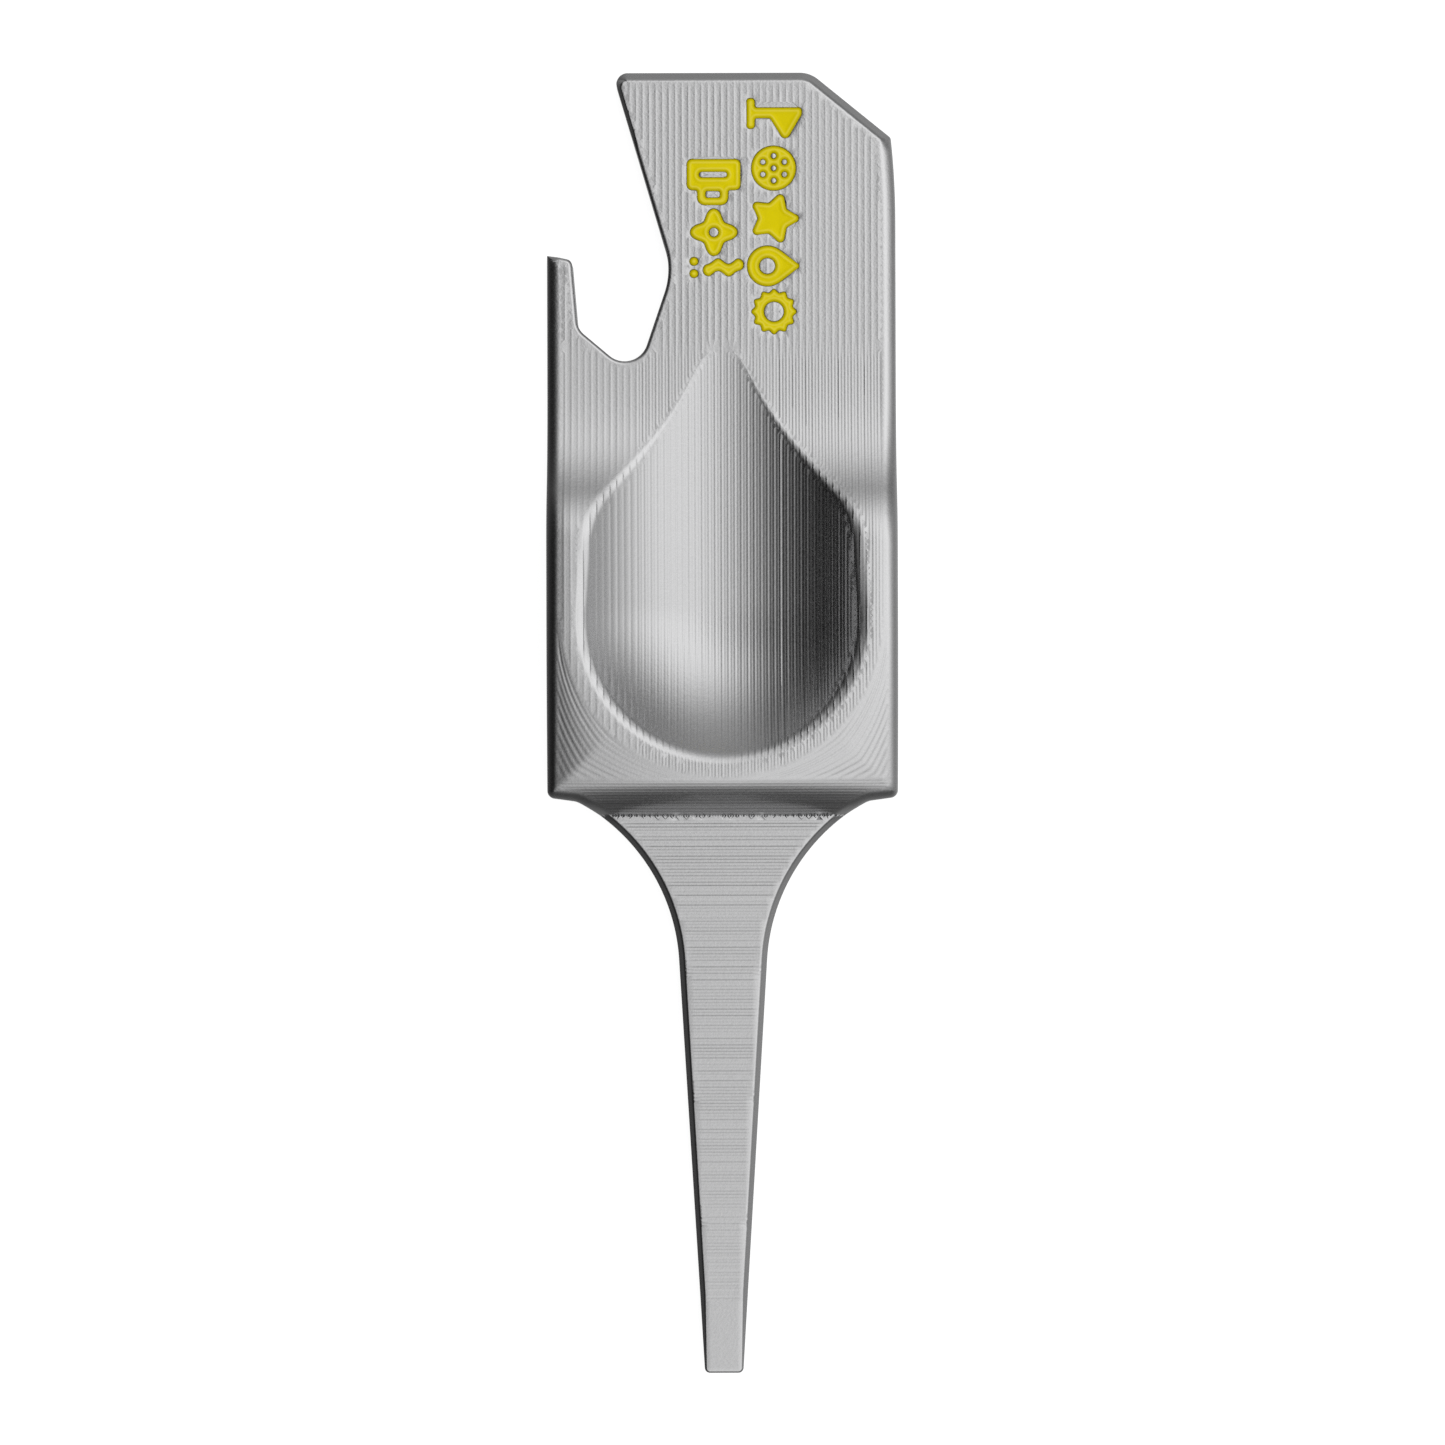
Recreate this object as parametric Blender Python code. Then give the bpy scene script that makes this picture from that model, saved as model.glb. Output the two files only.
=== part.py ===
"""Golf divot repair tool with a bottle opener: one milled metal body and ten enamel fills.

The tool lies on its back. The origin is the middle of its footprint, +Y runs from the prong's tip to
the head, +X is the side away from the opener's hook, and +Z leaves the front face. Metres.
"""

import math

import bmesh
import bpy
import numpy as np
from mathutils import Vector

MM = 0.001

# Outline.
LENGTH = 100.0 * MM
HALF_WIDTH = 13.4 * MM
TOP_Y = LENGTH / 2
TIP_Y = -LENGTH / 2
TIP_HALF_WIDTH = 1.47 * MM
TIP_CORNER = 0.4 * MM
CHAMFER_TOP = (6.86 * MM, TOP_Y)
CHAMFER_TOP_ROUND = 2.2 * MM
CHAMFER_SIDE = (13.06 * MM, 44.97 * MM)
CHAMFER_SIDE_ROUND = 0.4 * MM
SIDE_TAPER_Y = 38.5 * MM
HANDLE_FOOT_Y = -5.72 * MM
HANDLE_CORNER = 0.6 * MM
NECK_START = (11.25 * MM, -6.02 * MM)
NECK_START_ROUND = 1.0 * MM
NECK_CENTRE = (18.21 * MM, -19.1 * MM)
NECK_RADIUS = 14.85 * MM
NECK_TAPER_ANGLE = math.radians(3.5)

# Front surface, as heights above the flat back.
HEAD_THICKNESS = 3.2 * MM
RAMP_START_Y = 27.8 * MM
RAMP_LENGTH = 10.0 * MM
RAMP_CREST = 4.2 * MM
RAMP_SLOPE = 0.62
DISH_Y = 8.0 * MM
DISH_RADIUS = 14.1 * MM
DISH_FLOOR_SLOPE = 0.075
DISH_APEX_Y = 28.8 * MM
LIP_ROUND = 1.0 * MM
LIP_LEAST = 0.002 * MM
LIP_MOST = 0.75 * MM
PILLOW_RADIUS = 11.5 * MM
PILLOW_FALL = 0.22
STEP_FOOT_Y = -7.2 * MM
STEP_SLOPE = 2.5
STEP_ROUND = 4.0 * MM
STEP_TOP_Y = -4.3 * MM
PRONG_LAND_Y = -44.4 * MM
PRONG_LAND_THICKNESS = 2.5 * MM
BACK_CHAMFER = 0.25 * MM

# Front edge, from tip to head: the Y where each value holds, the edge's width there, and how much of
# it is a full round. The rest is a bevel with a rounded inner edge.
EDGE_Y = (TIP_Y, -40.0 * MM, -8.0 * MM, -6.5 * MM, 24.0 * MM, 44.0 * MM, 45.0 * MM, TOP_Y)
EDGE_WIDTH = (0.3 * MM, 0.5 * MM, 0.55 * MM, 0.7 * MM, 1.0 * MM, 1.1 * MM, 0.85 * MM, 0.85 * MM)
EDGE_ROUND_SHARE = (0.0, 0.0, 0.0, 1.0, 1.0, 1.0, 0.0, 0.0)
BEVEL_SLOPE = 1.9
BEVEL_SOFT_SHARE = 0.42

# Opener, down the fulcrum side, round the throat and up the inside of the hook.
FULCRUM = (-8.32 * MM, TOP_Y)
FULCRUM_ROUND = 0.85 * MM
OPENER_BULGE = (-3.78 * MM, 34.7 * MM)
OPENER_BULGE_ROUND = 5.7 * MM
THROAT_CORNER = (-6.58 * MM, 26.47 * MM)
THROAT_ROUND = 1.8 * MM
THROAT_RISE = (-11.03 * MM, 30.22 * MM)
THROAT_RISE_ROUND = 1.5 * MM
HOOK_TIP_INNER = (-11.48 * MM, 35.5 * MM)
HOOK_TIP_ROUND = 0.5 * MM
HOOK_TIP_OUTER = (-13.4 * MM, 35.93 * MM)
HOOK_TIP_SLOPE = 0.225

# Enamel.
POCKET_DEPTH = 0.7 * MM
FILL_GAP = 0.04 * MM
FILL_DIP = 0.08 * MM
RIGHT_COLUMN_X = 4.03 * MM
LEFT_COLUMN_X = -0.57 * MM

ARC_STEP = math.radians(15.0)
STEEL = (0.55, 0.55, 0.55, 1.0)
YELLOW = (0.69, 0.60, 0.004, 1.0)


def arc(centre, radius, start, end, step=ARC_STEP):
    """Points on an arc between two angles, both ends included."""
    count = max(2, math.ceil(abs(end - start) / step) + 1)
    angles = np.linspace(start, end, count)
    return [(centre[0] + radius * math.cos(a), centre[1] + radius * math.sin(a)) for a in angles]


def rounded_corner(before, corner, after, radius, step=ARC_STEP):
    """Points of the arc that rounds one corner of an outline."""
    corner = Vector(corner)
    to_before = (Vector(before) - corner).normalized()
    to_after = (Vector(after) - corner).normalized()
    half = to_before.angle(to_after) / 2
    centre = corner + (to_before + to_after).normalized() * (radius / math.sin(half))
    first = corner + to_before * (radius / math.tan(half)) - centre
    last = corner + to_after * (radius / math.tan(half)) - centre
    start = math.atan2(first.y, first.x)
    turn = math.remainder(math.atan2(last.y, last.x) - start, math.tau)
    return arc(centre, radius, start, start + turn, step)


def rounded_loop(corners, step=ARC_STEP):
    """A closed outline from corners (x, y, radius)."""
    points = []
    for index, (x, y, radius) in enumerate(corners):
        before = corners[index - 1][:2]
        after = corners[(index + 1) % len(corners)][:2]
        points += rounded_corner(before, (x, y), after, radius, step)
    return points


def side_taper():
    """The long side curving in towards the head's chamfer, up to just short of the corner."""
    narrowing = HALF_WIDTH - CHAMFER_SIDE[0]
    rise = CHAMFER_SIDE[1] - SIDE_TAPER_Y
    shares = np.linspace(0.0, 0.9, 4)
    return [(HALF_WIDTH - narrowing * share**2, SIDE_TAPER_Y + rise * share) for share in shares]


def right_edge():
    """The outline's right side from tip to top: (x, y) with y never falling."""
    start_angle = math.pi - NECK_TAPER_ANGLE
    to_foot = Vector((math.cos(start_angle), math.sin(start_angle)))
    neck_foot = Vector(NECK_CENTRE) + NECK_RADIUS * to_foot
    reach = math.sqrt(NECK_RADIUS**2 - (NECK_START[1] - NECK_CENTRE[1]) ** 2)
    neck_end_angle = math.atan2(NECK_START[1] - NECK_CENTRE[1] - NECK_START_ROUND / 2, -reach)
    neck = arc(NECK_CENTRE, NECK_RADIUS, start_angle, neck_end_angle, math.radians(4.5))
    handle_corner = (HALF_WIDTH, HANDLE_FOOT_Y)
    taper = side_taper()
    points = rounded_corner((0, TIP_Y), (TIP_HALF_WIDTH, TIP_Y), neck_foot, TIP_CORNER)
    points += neck
    points += rounded_corner(neck[-1], NECK_START, handle_corner, NECK_START_ROUND)
    points += rounded_corner(NECK_START, handle_corner, taper[0], HANDLE_CORNER)
    points += taper
    points += rounded_corner(taper[-1], CHAMFER_SIDE, CHAMFER_TOP, CHAMFER_SIDE_ROUND)
    points += rounded_corner(CHAMFER_SIDE, CHAMFER_TOP, (0, TOP_Y), CHAMFER_TOP_ROUND, math.radians(8.0))
    return np.array(points)


RIGHT_EDGE = right_edge()


def side_x(y):
    """Left and right ends of the outline at one Y; the opener isn't cut here."""
    right = float(np.interp(y, RIGHT_EDGE[:, 1], RIGHT_EDGE[:, 0]))
    left = -HALF_WIDTH if y > 0 else -right
    return left, right


def outline_loop():
    """The whole outline without the opener, counter-clockwise."""
    lower = RIGHT_EDGE[RIGHT_EDGE[:, 1] <= 0]
    left = np.array([(-x, y) for x, y in lower[::-1]])
    return np.vstack([RIGHT_EDGE, [(-HALF_WIDTH, TOP_Y)], left])


OUTLINE = outline_loop()


def distance_to_outline(x, y):
    """How far a point inside is from the nearest outer edge."""
    start = OUTLINE
    run = np.roll(OUTLINE, -1, axis=0) - start
    length_sq = np.maximum((run**2).sum(axis=1), 1e-18)
    offset = np.array((x, y)) - start
    along = np.clip((offset * run).sum(axis=1) / length_sq, 0.0, 1.0)
    nearest = start + run * along[:, None]
    return float(np.hypot(*(np.array((x, y)) - nearest).T).min())


def soft_min(a, b, blend):
    """The lower of two heights, with the edge between them rounded off."""
    overlap = max(blend - abs(a - b), 0.0) / blend
    return min(a, b) - overlap**2 * blend / 4


def ramp_height(y):
    """Head plate, then a hollow ramp, then a rounded crest up to the handle's level."""
    run = RAMP_START_Y - y
    if run <= 0:
        return HEAD_THICKNESS
    if run < RAMP_LENGTH:
        return HEAD_THICKNESS + RAMP_SLOPE * RAMP_LENGTH / 3 * (run / RAMP_LENGTH) ** 3
    crest = min(run - RAMP_LENGTH, RAMP_CREST)
    return HEAD_THICKNESS + RAMP_SLOPE * (RAMP_LENGTH / 3 + crest - crest**2 / (2 * RAMP_CREST))


def pillow_drop(x, y):
    """How far the handle's top falls away between the dish and the handle's edges."""
    outside = math.hypot(x, min(y - DISH_Y, 0.0)) - PILLOW_RADIUS
    if outside <= 0:
        return 0.0
    inside = max(min(HALF_WIDTH - abs(x), y - HANDLE_FOOT_Y), 0.0)
    level = (ramp_height(y) - HEAD_THICKNESS) / (ramp_height(0) - HEAD_THICKNESS)
    return level * PILLOW_FALL * outside**2 / (outside + inside)


def dish_height(x, y):
    """A trough of round section that runs down from the head and ends in a ball, and its slopes."""
    tangent_y = DISH_Y + DISH_RADIUS * DISH_FLOOR_SLOPE
    trough_radius = math.sqrt(DISH_RADIUS**2 - (tangent_y - DISH_Y) ** 2)
    ball_z = HEAD_THICKNESS - DISH_FLOOR_SLOPE * (DISH_APEX_Y - tangent_y) + trough_radius
    if y > tangent_y:
        drop = math.sqrt(trough_radius**2 - x**2)
        return ball_z + DISH_FLOOR_SLOPE * (y - tangent_y) - drop, x / drop, DISH_FLOOR_SLOPE
    drop = math.sqrt(max(DISH_RADIUS**2 - x**2 - (y - DISH_Y) ** 2, (1.0 * MM) ** 2))
    return ball_z - drop, x / drop, (y - DISH_Y) / drop


def lip_blend(y, across, along):
    """How much of the height between ramp and dish the lip takes, for a lip of even radius."""
    run = RAMP_START_Y - y
    steepness = min(max(run / RAMP_LENGTH, 0.0), 1.0) ** 2
    crest = min(max(run - RAMP_LENGTH, 0.0), RAMP_CREST) / RAMP_CREST
    ramp_fall = RAMP_SLOPE * (steepness - crest)
    return min(LIP_LEAST + LIP_ROUND / 2 * (across**2 + (along + ramp_fall) ** 2), LIP_MOST)


def prong_height(y):
    """The prong thins evenly from its root to the level land at the tip."""
    return float(np.interp(y, (PRONG_LAND_Y, STEP_FOOT_Y), (PRONG_LAND_THICKNESS, HEAD_THICKNESS)))


def face_height(x, y):
    """The front surface before its outer edges are rounded."""
    if y <= STEP_FOOT_Y:
        return prong_height(y)
    top = ramp_height(y) - pillow_drop(x, y)
    if y < DISH_APEX_Y:
        dish, across, along = dish_height(x, y)
        top = soft_min(top, dish, lip_blend(y, across, along))
    step = HEAD_THICKNESS + STEP_SLOPE * (y - STEP_FOOT_Y)
    return soft_min(top, step, STEP_ROUND) if step < top + STEP_ROUND else top


def edge_width(y):
    return float(np.interp(y, EDGE_Y, EDGE_WIDTH))


def edge_drop(x, y):
    """How far the front surface falls away towards the outline."""
    width = edge_width(y)
    short = max(width - distance_to_outline(x, y), 0.0)
    soft = width * BEVEL_SOFT_SHARE
    bevel = BEVEL_SLOPE * (short**2 / (2 * soft) if short < soft else short - soft / 2)
    full_round = width - math.sqrt(max(width**2 - short**2, 0.0))
    return bevel + (full_round - bevel) * float(np.interp(y, EDGE_Y, EDGE_ROUND_SHARE))


def front_height(x, y):
    """The finished front surface."""
    return face_height(x, y) - edge_drop(x, y)


def spread(start, end, spacing):
    """Evenly spaced values from start to end, no further apart than spacing."""
    return np.linspace(start, end, max(2, math.ceil(abs(end - start) / spacing - 1e-9) + 1))


def station_ys():
    """Where the body's cross-sections are taken, tip to top."""
    flat = 1 - BEVEL_SOFT_SHARE
    bevel = np.array((0.0, flat, flat + BEVEL_SOFT_SHARE / 2, 1.0))
    own = [
        RIGHT_EDGE[:, 1],
        TIP_Y + edge_width(TIP_Y) * bevel,
        spread(PRONG_LAND_Y, STEP_FOOT_Y, 4.0 * MM),
        spread(STEP_FOOT_Y, STEP_TOP_Y, 0.3 * MM),
        spread(STEP_TOP_Y, RAMP_START_Y - RAMP_LENGTH - RAMP_CREST, 0.9 * MM),
        spread(RAMP_START_Y - RAMP_LENGTH - RAMP_CREST, RAMP_START_Y, 0.9 * MM),
        [DISH_APEX_Y],
        TOP_Y - edge_width(TOP_Y) * bevel,
    ]
    values = np.sort(np.concatenate([np.asarray(part, dtype=float) for part in own]))
    keep = np.concatenate([[True], np.diff(values) > 0.02 * MM])
    keep[-2:] = (values[-1] - values[-2] > 0.02 * MM, True)
    return values[keep]


def section(y, columns=26, rounding=5):
    """One closed cross-section, counter-clockwise seen from the tip."""
    left, right = side_x(y)
    width = edge_width(y)
    fade = width * (1 - np.cos(np.linspace(0, math.pi / 2, rounding + 1)))
    inner = np.linspace(left + width, right - width, columns + 1)
    xs = np.concatenate([left + fade[:-1], inner, (right - fade[:-1])[::-1]])
    ring = [(right, y, BACK_CHAMFER), (right - BACK_CHAMFER, y, 0.0)]
    ring += [(left + BACK_CHAMFER, y, 0.0), (left, y, BACK_CHAMFER)]
    ring += [(x, y, front_height(x, y)) for x in xs]
    return ring


def clear_scene():
    for obj in list(bpy.data.objects):
        bpy.data.objects.remove(obj, do_unlink=True)


def new_collection(name):
    collection = bpy.data.collections.new(name)
    bpy.context.scene.collection.children.link(collection)
    return collection


def principled(name, colour, roughness, metallic):
    material = bpy.data.materials.new(name)
    material.use_nodes = True
    shader = material.node_tree.nodes["Principled BSDF"]
    shader.inputs["Base Color"].default_value = colour
    shader.inputs["Roughness"].default_value = roughness
    shader.inputs["Metallic"].default_value = metallic
    material.diffuse_color = colour
    return material


def link_mesh(name, bm, collection, material=None):
    mesh = bpy.data.meshes.new(name)
    bm.to_mesh(mesh)
    bm.free()
    obj = bpy.data.objects.new(name, mesh)
    collection.objects.link(obj)
    if material:
        mesh.materials.append(material)
    return obj


def prism(name, loops, low, high, collection, material=None):
    """A flat outline, with any holes, drawn as a 2D curve and extruded from low to high."""
    curve = bpy.data.curves.new(name, "CURVE")
    curve.dimensions = "2D"
    curve.fill_mode = "BOTH"
    curve.extrude = (high - low) / 2
    for loop in loops:
        spline = curve.splines.new("POLY")
        spline.points.add(len(loop) - 1)
        for point, (x, y) in zip(spline.points, loop):
            point.co = (x, y, 0.0, 1.0)
        spline.use_cyclic_u = True
    drawn = bpy.data.objects.new(name, curve)
    drawn.location.z = (low + high) / 2
    collection.objects.link(drawn)
    depsgraph = bpy.context.evaluated_depsgraph_get()
    bm = bmesh.new()
    bm.from_mesh(bpy.data.meshes.new_from_object(drawn.evaluated_get(depsgraph)))
    bm.transform(drawn.matrix_world)
    bmesh.ops.remove_doubles(bm, verts=bm.verts, dist=1e-7)
    bmesh.ops.recalc_face_normals(bm, faces=bm.faces)
    bpy.data.objects.remove(drawn, do_unlink=True)
    return link_mesh(name, bm, collection, material)


def body_blank(collection, material):
    """The milled body before the opener and the pockets: a loft along the tool's length."""
    bm = bmesh.new()
    rings = [[bm.verts.new(point) for point in section(float(y))] for y in station_ys()]
    for ring, following in zip(rings, rings[1:]):
        for index, vert in enumerate(ring):
            before = index - 1
            bm.faces.new((ring[before], vert, following[index], following[before]))
    bm.faces.new(rings[0][::-1])
    bm.faces.new(rings[-1])
    bmesh.ops.recalc_face_normals(bm, faces=bm.faces)
    return link_mesh("tool_body", bm, collection, material)


def opener_loop():
    """What the opener removes: its working edge, closed well outside the body."""
    clear = 6.0 * MM
    hook_top = (HOOK_TIP_OUTER[0] - clear, HOOK_TIP_OUTER[1] + clear * HOOK_TIP_SLOPE)
    edge = rounded_corner((0, TOP_Y), FULCRUM, OPENER_BULGE, FULCRUM_ROUND)[1:]
    tangent = Vector(edge[0]) - Vector(edge[1])
    lead = Vector(edge[0]) + tangent.normalized() * clear
    edge += rounded_corner(FULCRUM, OPENER_BULGE, THROAT_CORNER, OPENER_BULGE_ROUND, math.radians(6.0))
    edge += rounded_corner(OPENER_BULGE, THROAT_CORNER, THROAT_RISE, THROAT_ROUND)
    edge += rounded_corner(THROAT_CORNER, THROAT_RISE, HOOK_TIP_INNER, THROAT_RISE_ROUND)
    edge += rounded_corner(THROAT_RISE, HOOK_TIP_INNER, HOOK_TIP_OUTER, HOOK_TIP_ROUND)
    outside = [hook_top, (-HALF_WIDTH - clear, TOP_Y + clear), (lead.x, TOP_Y + clear)]
    return [tuple(lead)] + edge + outside


def circle(x, y, radius, count=20, clockwise=False):
    """A round outline; clockwise for a hole."""
    turn = -math.tau if clockwise else math.tau
    angles = [turn * index / count for index in range(count)]
    return [(x + radius * math.cos(a), y + radius * math.sin(a)) for a in angles]


def polar(radius_at, count):
    """An outline whose radius is a function of its angle."""
    angles = [math.tau * index / count for index in range(count)]
    return [(radius_at(a) * math.cos(a), radius_at(a) * math.sin(a)) for a in angles]


def scaled(corners):
    """Corners written in millimetres, in metres."""
    return [tuple(value * MM for value in corner) for corner in corners]


# Each motif is drawn upright about its own centre, 3.5 mm wide and 4.3 mm tall.


def flag_loops():
    corners = [(-1.65, -2.1, 0.3), (0.75, -2.1, 0.3), (0.75, -1.4, 0.3), (-0.05, -1.4, 0.1)]
    corners += [(-0.05, -0.3, 0.1), (1.85, 0.9, 0.4), (-0.35, 2.2, 0.4), (-0.95, 2.2, 0.3)]
    corners += [(-0.95, -1.4, 0.1), (-1.65, -1.4, 0.3)]
    return [rounded_loop(scaled(corners), math.radians(30.0))]


def ball_loops():
    dimples = [circle(0, 0, 0.2 * MM, 8, clockwise=True)]
    for index in range(6):
        angle = math.tau * index / 6
        x, y = 0.95 * MM * math.cos(angle), 0.95 * MM * math.sin(angle)
        dimples.append(circle(x, y, 0.2 * MM, 8, clockwise=True))
    return [circle(0, 0, 1.75 * MM, 28)] + dimples


def star_loops():
    corners = []
    for index in range(5):
        angle = math.pi / 2 + math.tau * index / 5
        corners.append((2.3 * MM * math.cos(angle), 2.3 * MM * math.sin(angle), 0.35 * MM))
        angle += math.tau / 10
        corners.append((1.25 * MM * math.cos(angle), 1.25 * MM * math.sin(angle), 0.15 * MM))
    return [rounded_loop(corners, math.radians(30.0))]


def drop_loops():
    body, low, tip = 1.6 * MM, -0.5 * MM, 2.15 * MM
    side = math.acos(body / (tip - low))
    start = math.pi / 2 + side
    outline = arc((0, low), body, start, start + math.tau - 2 * side, math.radians(20.0))
    outline += rounded_corner(outline[-1], (0, tip), outline[0], 0.25 * MM, math.radians(40.0))
    return [outline, circle(0, low, 0.6 * MM, 14, clockwise=True)]


def cap_loops():
    flutes, mean, swell = 12, 1.64 * MM, 0.13 * MM
    outline = polar(lambda angle: mean + swell * math.cos(flutes * angle), flutes * 6)
    return [outline, circle(0, 0, 0.75 * MM, 16, clockwise=True)]


def mug_loops():
    corners = [(-1.75, -2.1, 0.45), (0.7, -2.1, 0.45), (0.7, -1.3, 0.12), (1.85, -1.3, 0.6)]
    corners += [(1.85, 1.15, 0.6), (0.7, 1.15, 0.12), (0.7, 2.1, 0.45), (-1.75, 2.1, 0.45)]
    grip = [(0.78, 0.45, 0.1), (1.2, 0.45, 0.1), (1.2, -0.6, 0.1), (0.78, -0.6, 0.1)]
    flute = [(-0.7, 1.0, 0.15), (-0.35, 1.0, 0.15), (-0.35, -1.1, 0.15), (-0.7, -1.1, 0.15)]
    coarse = math.radians(30.0)
    return [rounded_loop(scaled(loop), coarse) for loop in (corners, grip, flute)]


def clover_loops():
    outline = polar(lambda angle: (1.5 + 0.36 * math.cos(4 * angle)) * MM, 40)
    return [outline, circle(0, 0, 0.35 * MM, 10, clockwise=True)]


def wave_loops():
    """A wavy stroke of even width with round ends, along the motif's upright."""
    half, reach, swing = 0.5 * MM, 1.1 * MM, 0.22 * MM
    heights = np.linspace(-reach, reach, 13)
    middle = [(swing * math.sin(math.pi * v / (0.8 * MM)), v) for v in heights]
    right = [(x + half, v) for x, v in middle]
    left = [(x - half, v) for x, v in middle[::-1]]
    top = arc(middle[-1], half, math.radians(30), math.radians(150), math.radians(30))
    bottom = arc(middle[0], half, math.radians(210), math.radians(330), math.radians(30))
    return [right + top + left + bottom]


def dot_loops():
    return [circle(0, 0, 0.36 * MM, 14)]


MOTIFS = {
    "flag": (flag_loops, RIGHT_COLUMN_X, 46.25 * MM),
    "ball": (ball_loops, RIGHT_COLUMN_X, 42.5 * MM),
    "star": (star_loops, RIGHT_COLUMN_X, 38.65 * MM),
    "drop": (drop_loops, RIGHT_COLUMN_X, 35.0 * MM),
    "cap": (cap_loops, RIGHT_COLUMN_X, 31.5 * MM),
    "mug": (mug_loops, LEFT_COLUMN_X, 41.5 * MM),
    "clover": (clover_loops, LEFT_COLUMN_X, 37.6 * MM),
    "wave": (wave_loops, 0.15 * MM, 34.9 * MM),
    "upper_dot": (dot_loops, -2.1 * MM, 35.37 * MM),
    "lower_dot": (dot_loops, -2.1 * MM, 34.43 * MM),
}


def placed(loop, x, y):
    """Lays an upright motif on the tool: its top towards +X, its right towards -Y."""
    return [(x + v, y - u) for u, v in loop]


def shrunk(loop, distance):
    """The outline moved to its left by a distance, which makes the filled area smaller."""
    points = np.array(loop)
    run = np.roll(points, -1, axis=0) - points
    run /= np.hypot(run[:, 0], run[:, 1])[:, None]
    left = np.stack([-run[:, 1], run[:, 0]], axis=1)
    mitre = left + np.roll(left, 1, axis=0)
    mitre /= (mitre**2).sum(axis=1)[:, None] / 2
    return [tuple(point) for point in points + mitre * distance]


def add_fills(parts, cutters, material):
    """A pocket cutter and an enamel fill for each motif."""
    floor = HEAD_THICKNESS - POCKET_DEPTH
    for name, (loops_of, x, y) in MOTIFS.items():
        loops = [placed(loop, x, y) for loop in loops_of()]
        prism(f"{name}_pocket", loops, floor, HEAD_THICKNESS + POCKET_DEPTH, cutters)
        inner = [shrunk(loop, FILL_GAP) for loop in loops]
        top = HEAD_THICKNESS - FILL_DIP
        prism(f"{name}_fill", inner, floor + FILL_GAP, top, parts, material)


def hide_cutters(cutters):
    cutters.hide_render = True
    for obj in cutters.objects:
        obj.display_type = "WIRE"
        obj.hide_render = True


def main():
    clear_scene()
    parts = new_collection("divot_repair_tool")
    cutters = new_collection("cutters")
    steel = principled("milled_steel", STEEL, 0.42, 1.0)
    enamel = principled("yellow_enamel", YELLOW, 0.3, 0.0)
    body = body_blank(parts, steel)
    prism("opener", [opener_loop()], -2.0 * MM, HEAD_THICKNESS * 3, cutters)
    add_fills(parts, cutters, enamel)
    hide_cutters(cutters)
    cut = body.modifiers.new("opener and pockets", "BOOLEAN")
    cut.operation = "DIFFERENCE"
    cut.operand_type = "COLLECTION"
    cut.collection = cutters
    cut.solver = "EXACT"
    evaluated = body.evaluated_get(bpy.context.evaluated_depsgraph_get())
    body.data = bpy.data.meshes.new_from_object(evaluated)
    body.modifiers.remove(cut)
    body.data.shade_smooth()
    body.data.set_sharp_from_angle(angle=math.radians(30.0))


main()
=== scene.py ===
"""Looks of the divot repair tool: a milled metal body, its enamel motifs and the studio around them.

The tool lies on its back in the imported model's frame. +Y runs from the prong's tip to the head, +X is
the side away from the opener's hook, and +Z leaves the front face. Shapes are worked out in
millimetres, and become metres when their mesh is made.
"""

import math

import bmesh
import bpy
import numpy as np
from mathutils import Matrix, Vector
from mathutils.geometry import delaunay_2d_cdt


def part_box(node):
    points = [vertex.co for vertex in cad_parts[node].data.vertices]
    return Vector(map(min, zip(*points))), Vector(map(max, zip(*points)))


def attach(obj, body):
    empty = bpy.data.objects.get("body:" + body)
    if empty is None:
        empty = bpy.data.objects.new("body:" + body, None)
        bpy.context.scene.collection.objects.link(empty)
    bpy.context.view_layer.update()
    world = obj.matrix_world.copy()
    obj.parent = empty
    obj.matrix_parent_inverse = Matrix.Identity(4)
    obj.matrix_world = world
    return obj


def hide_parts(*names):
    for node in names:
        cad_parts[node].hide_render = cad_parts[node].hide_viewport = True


bl_info = {
    "name": "Divot Repair Tool",
    "version": (1, 0, 0),
    "blender": (4, 5, 0),
    "location": "3D View > Sidebar > Divot Tool",
    "description": "Builds a milled divot repair tool with enamel motifs, and a studio for it",
    "category": "Object",
}

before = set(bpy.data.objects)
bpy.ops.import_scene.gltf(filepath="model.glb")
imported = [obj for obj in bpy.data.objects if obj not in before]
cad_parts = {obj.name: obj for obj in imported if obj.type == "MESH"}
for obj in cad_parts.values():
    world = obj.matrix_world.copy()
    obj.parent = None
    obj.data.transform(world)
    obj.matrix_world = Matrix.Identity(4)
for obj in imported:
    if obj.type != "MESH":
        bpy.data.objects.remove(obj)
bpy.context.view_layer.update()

MM = 0.001
BODY_NODE = "tool_body"
ENAMEL_NODES = sorted(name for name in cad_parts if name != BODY_NODE)

# Outline, in millimetres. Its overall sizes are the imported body's own.
BODY_LOW, BODY_HIGH = (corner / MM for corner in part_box(BODY_NODE))
HALF_WIDTH = round(BODY_HIGH.x, 3)
TOP_Y = round(BODY_HIGH.y, 3)
TIP_Y = round(BODY_LOW.y, 3)
TIP_HALF_WIDTH = 1.47
TIP_CORNER = 0.4
CHAMFER_TOP = (6.86, TOP_Y)
CHAMFER_TOP_ROUND = 2.2
CHAMFER_SIDE = (13.06, 44.97)
CHAMFER_SIDE_ROUND = 0.4
SIDE_TAPER_Y = 38.5
SIDE_TAPER_REACH = 0.9
SIDE_TAPER_POINTS = 7
HANDLE_FOOT_Y = -5.72
HANDLE_CORNER = 0.6
NECK_START = (11.25, -6.02)
NECK_START_ROUND = 1.0
NECK_CENTRE = (18.21, -19.1)
NECK_RADIUS = 14.85
NECK_TAPER_ANGLE = math.radians(3.5)
NECK_ARC_STEP = math.radians(1.5)

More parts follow.
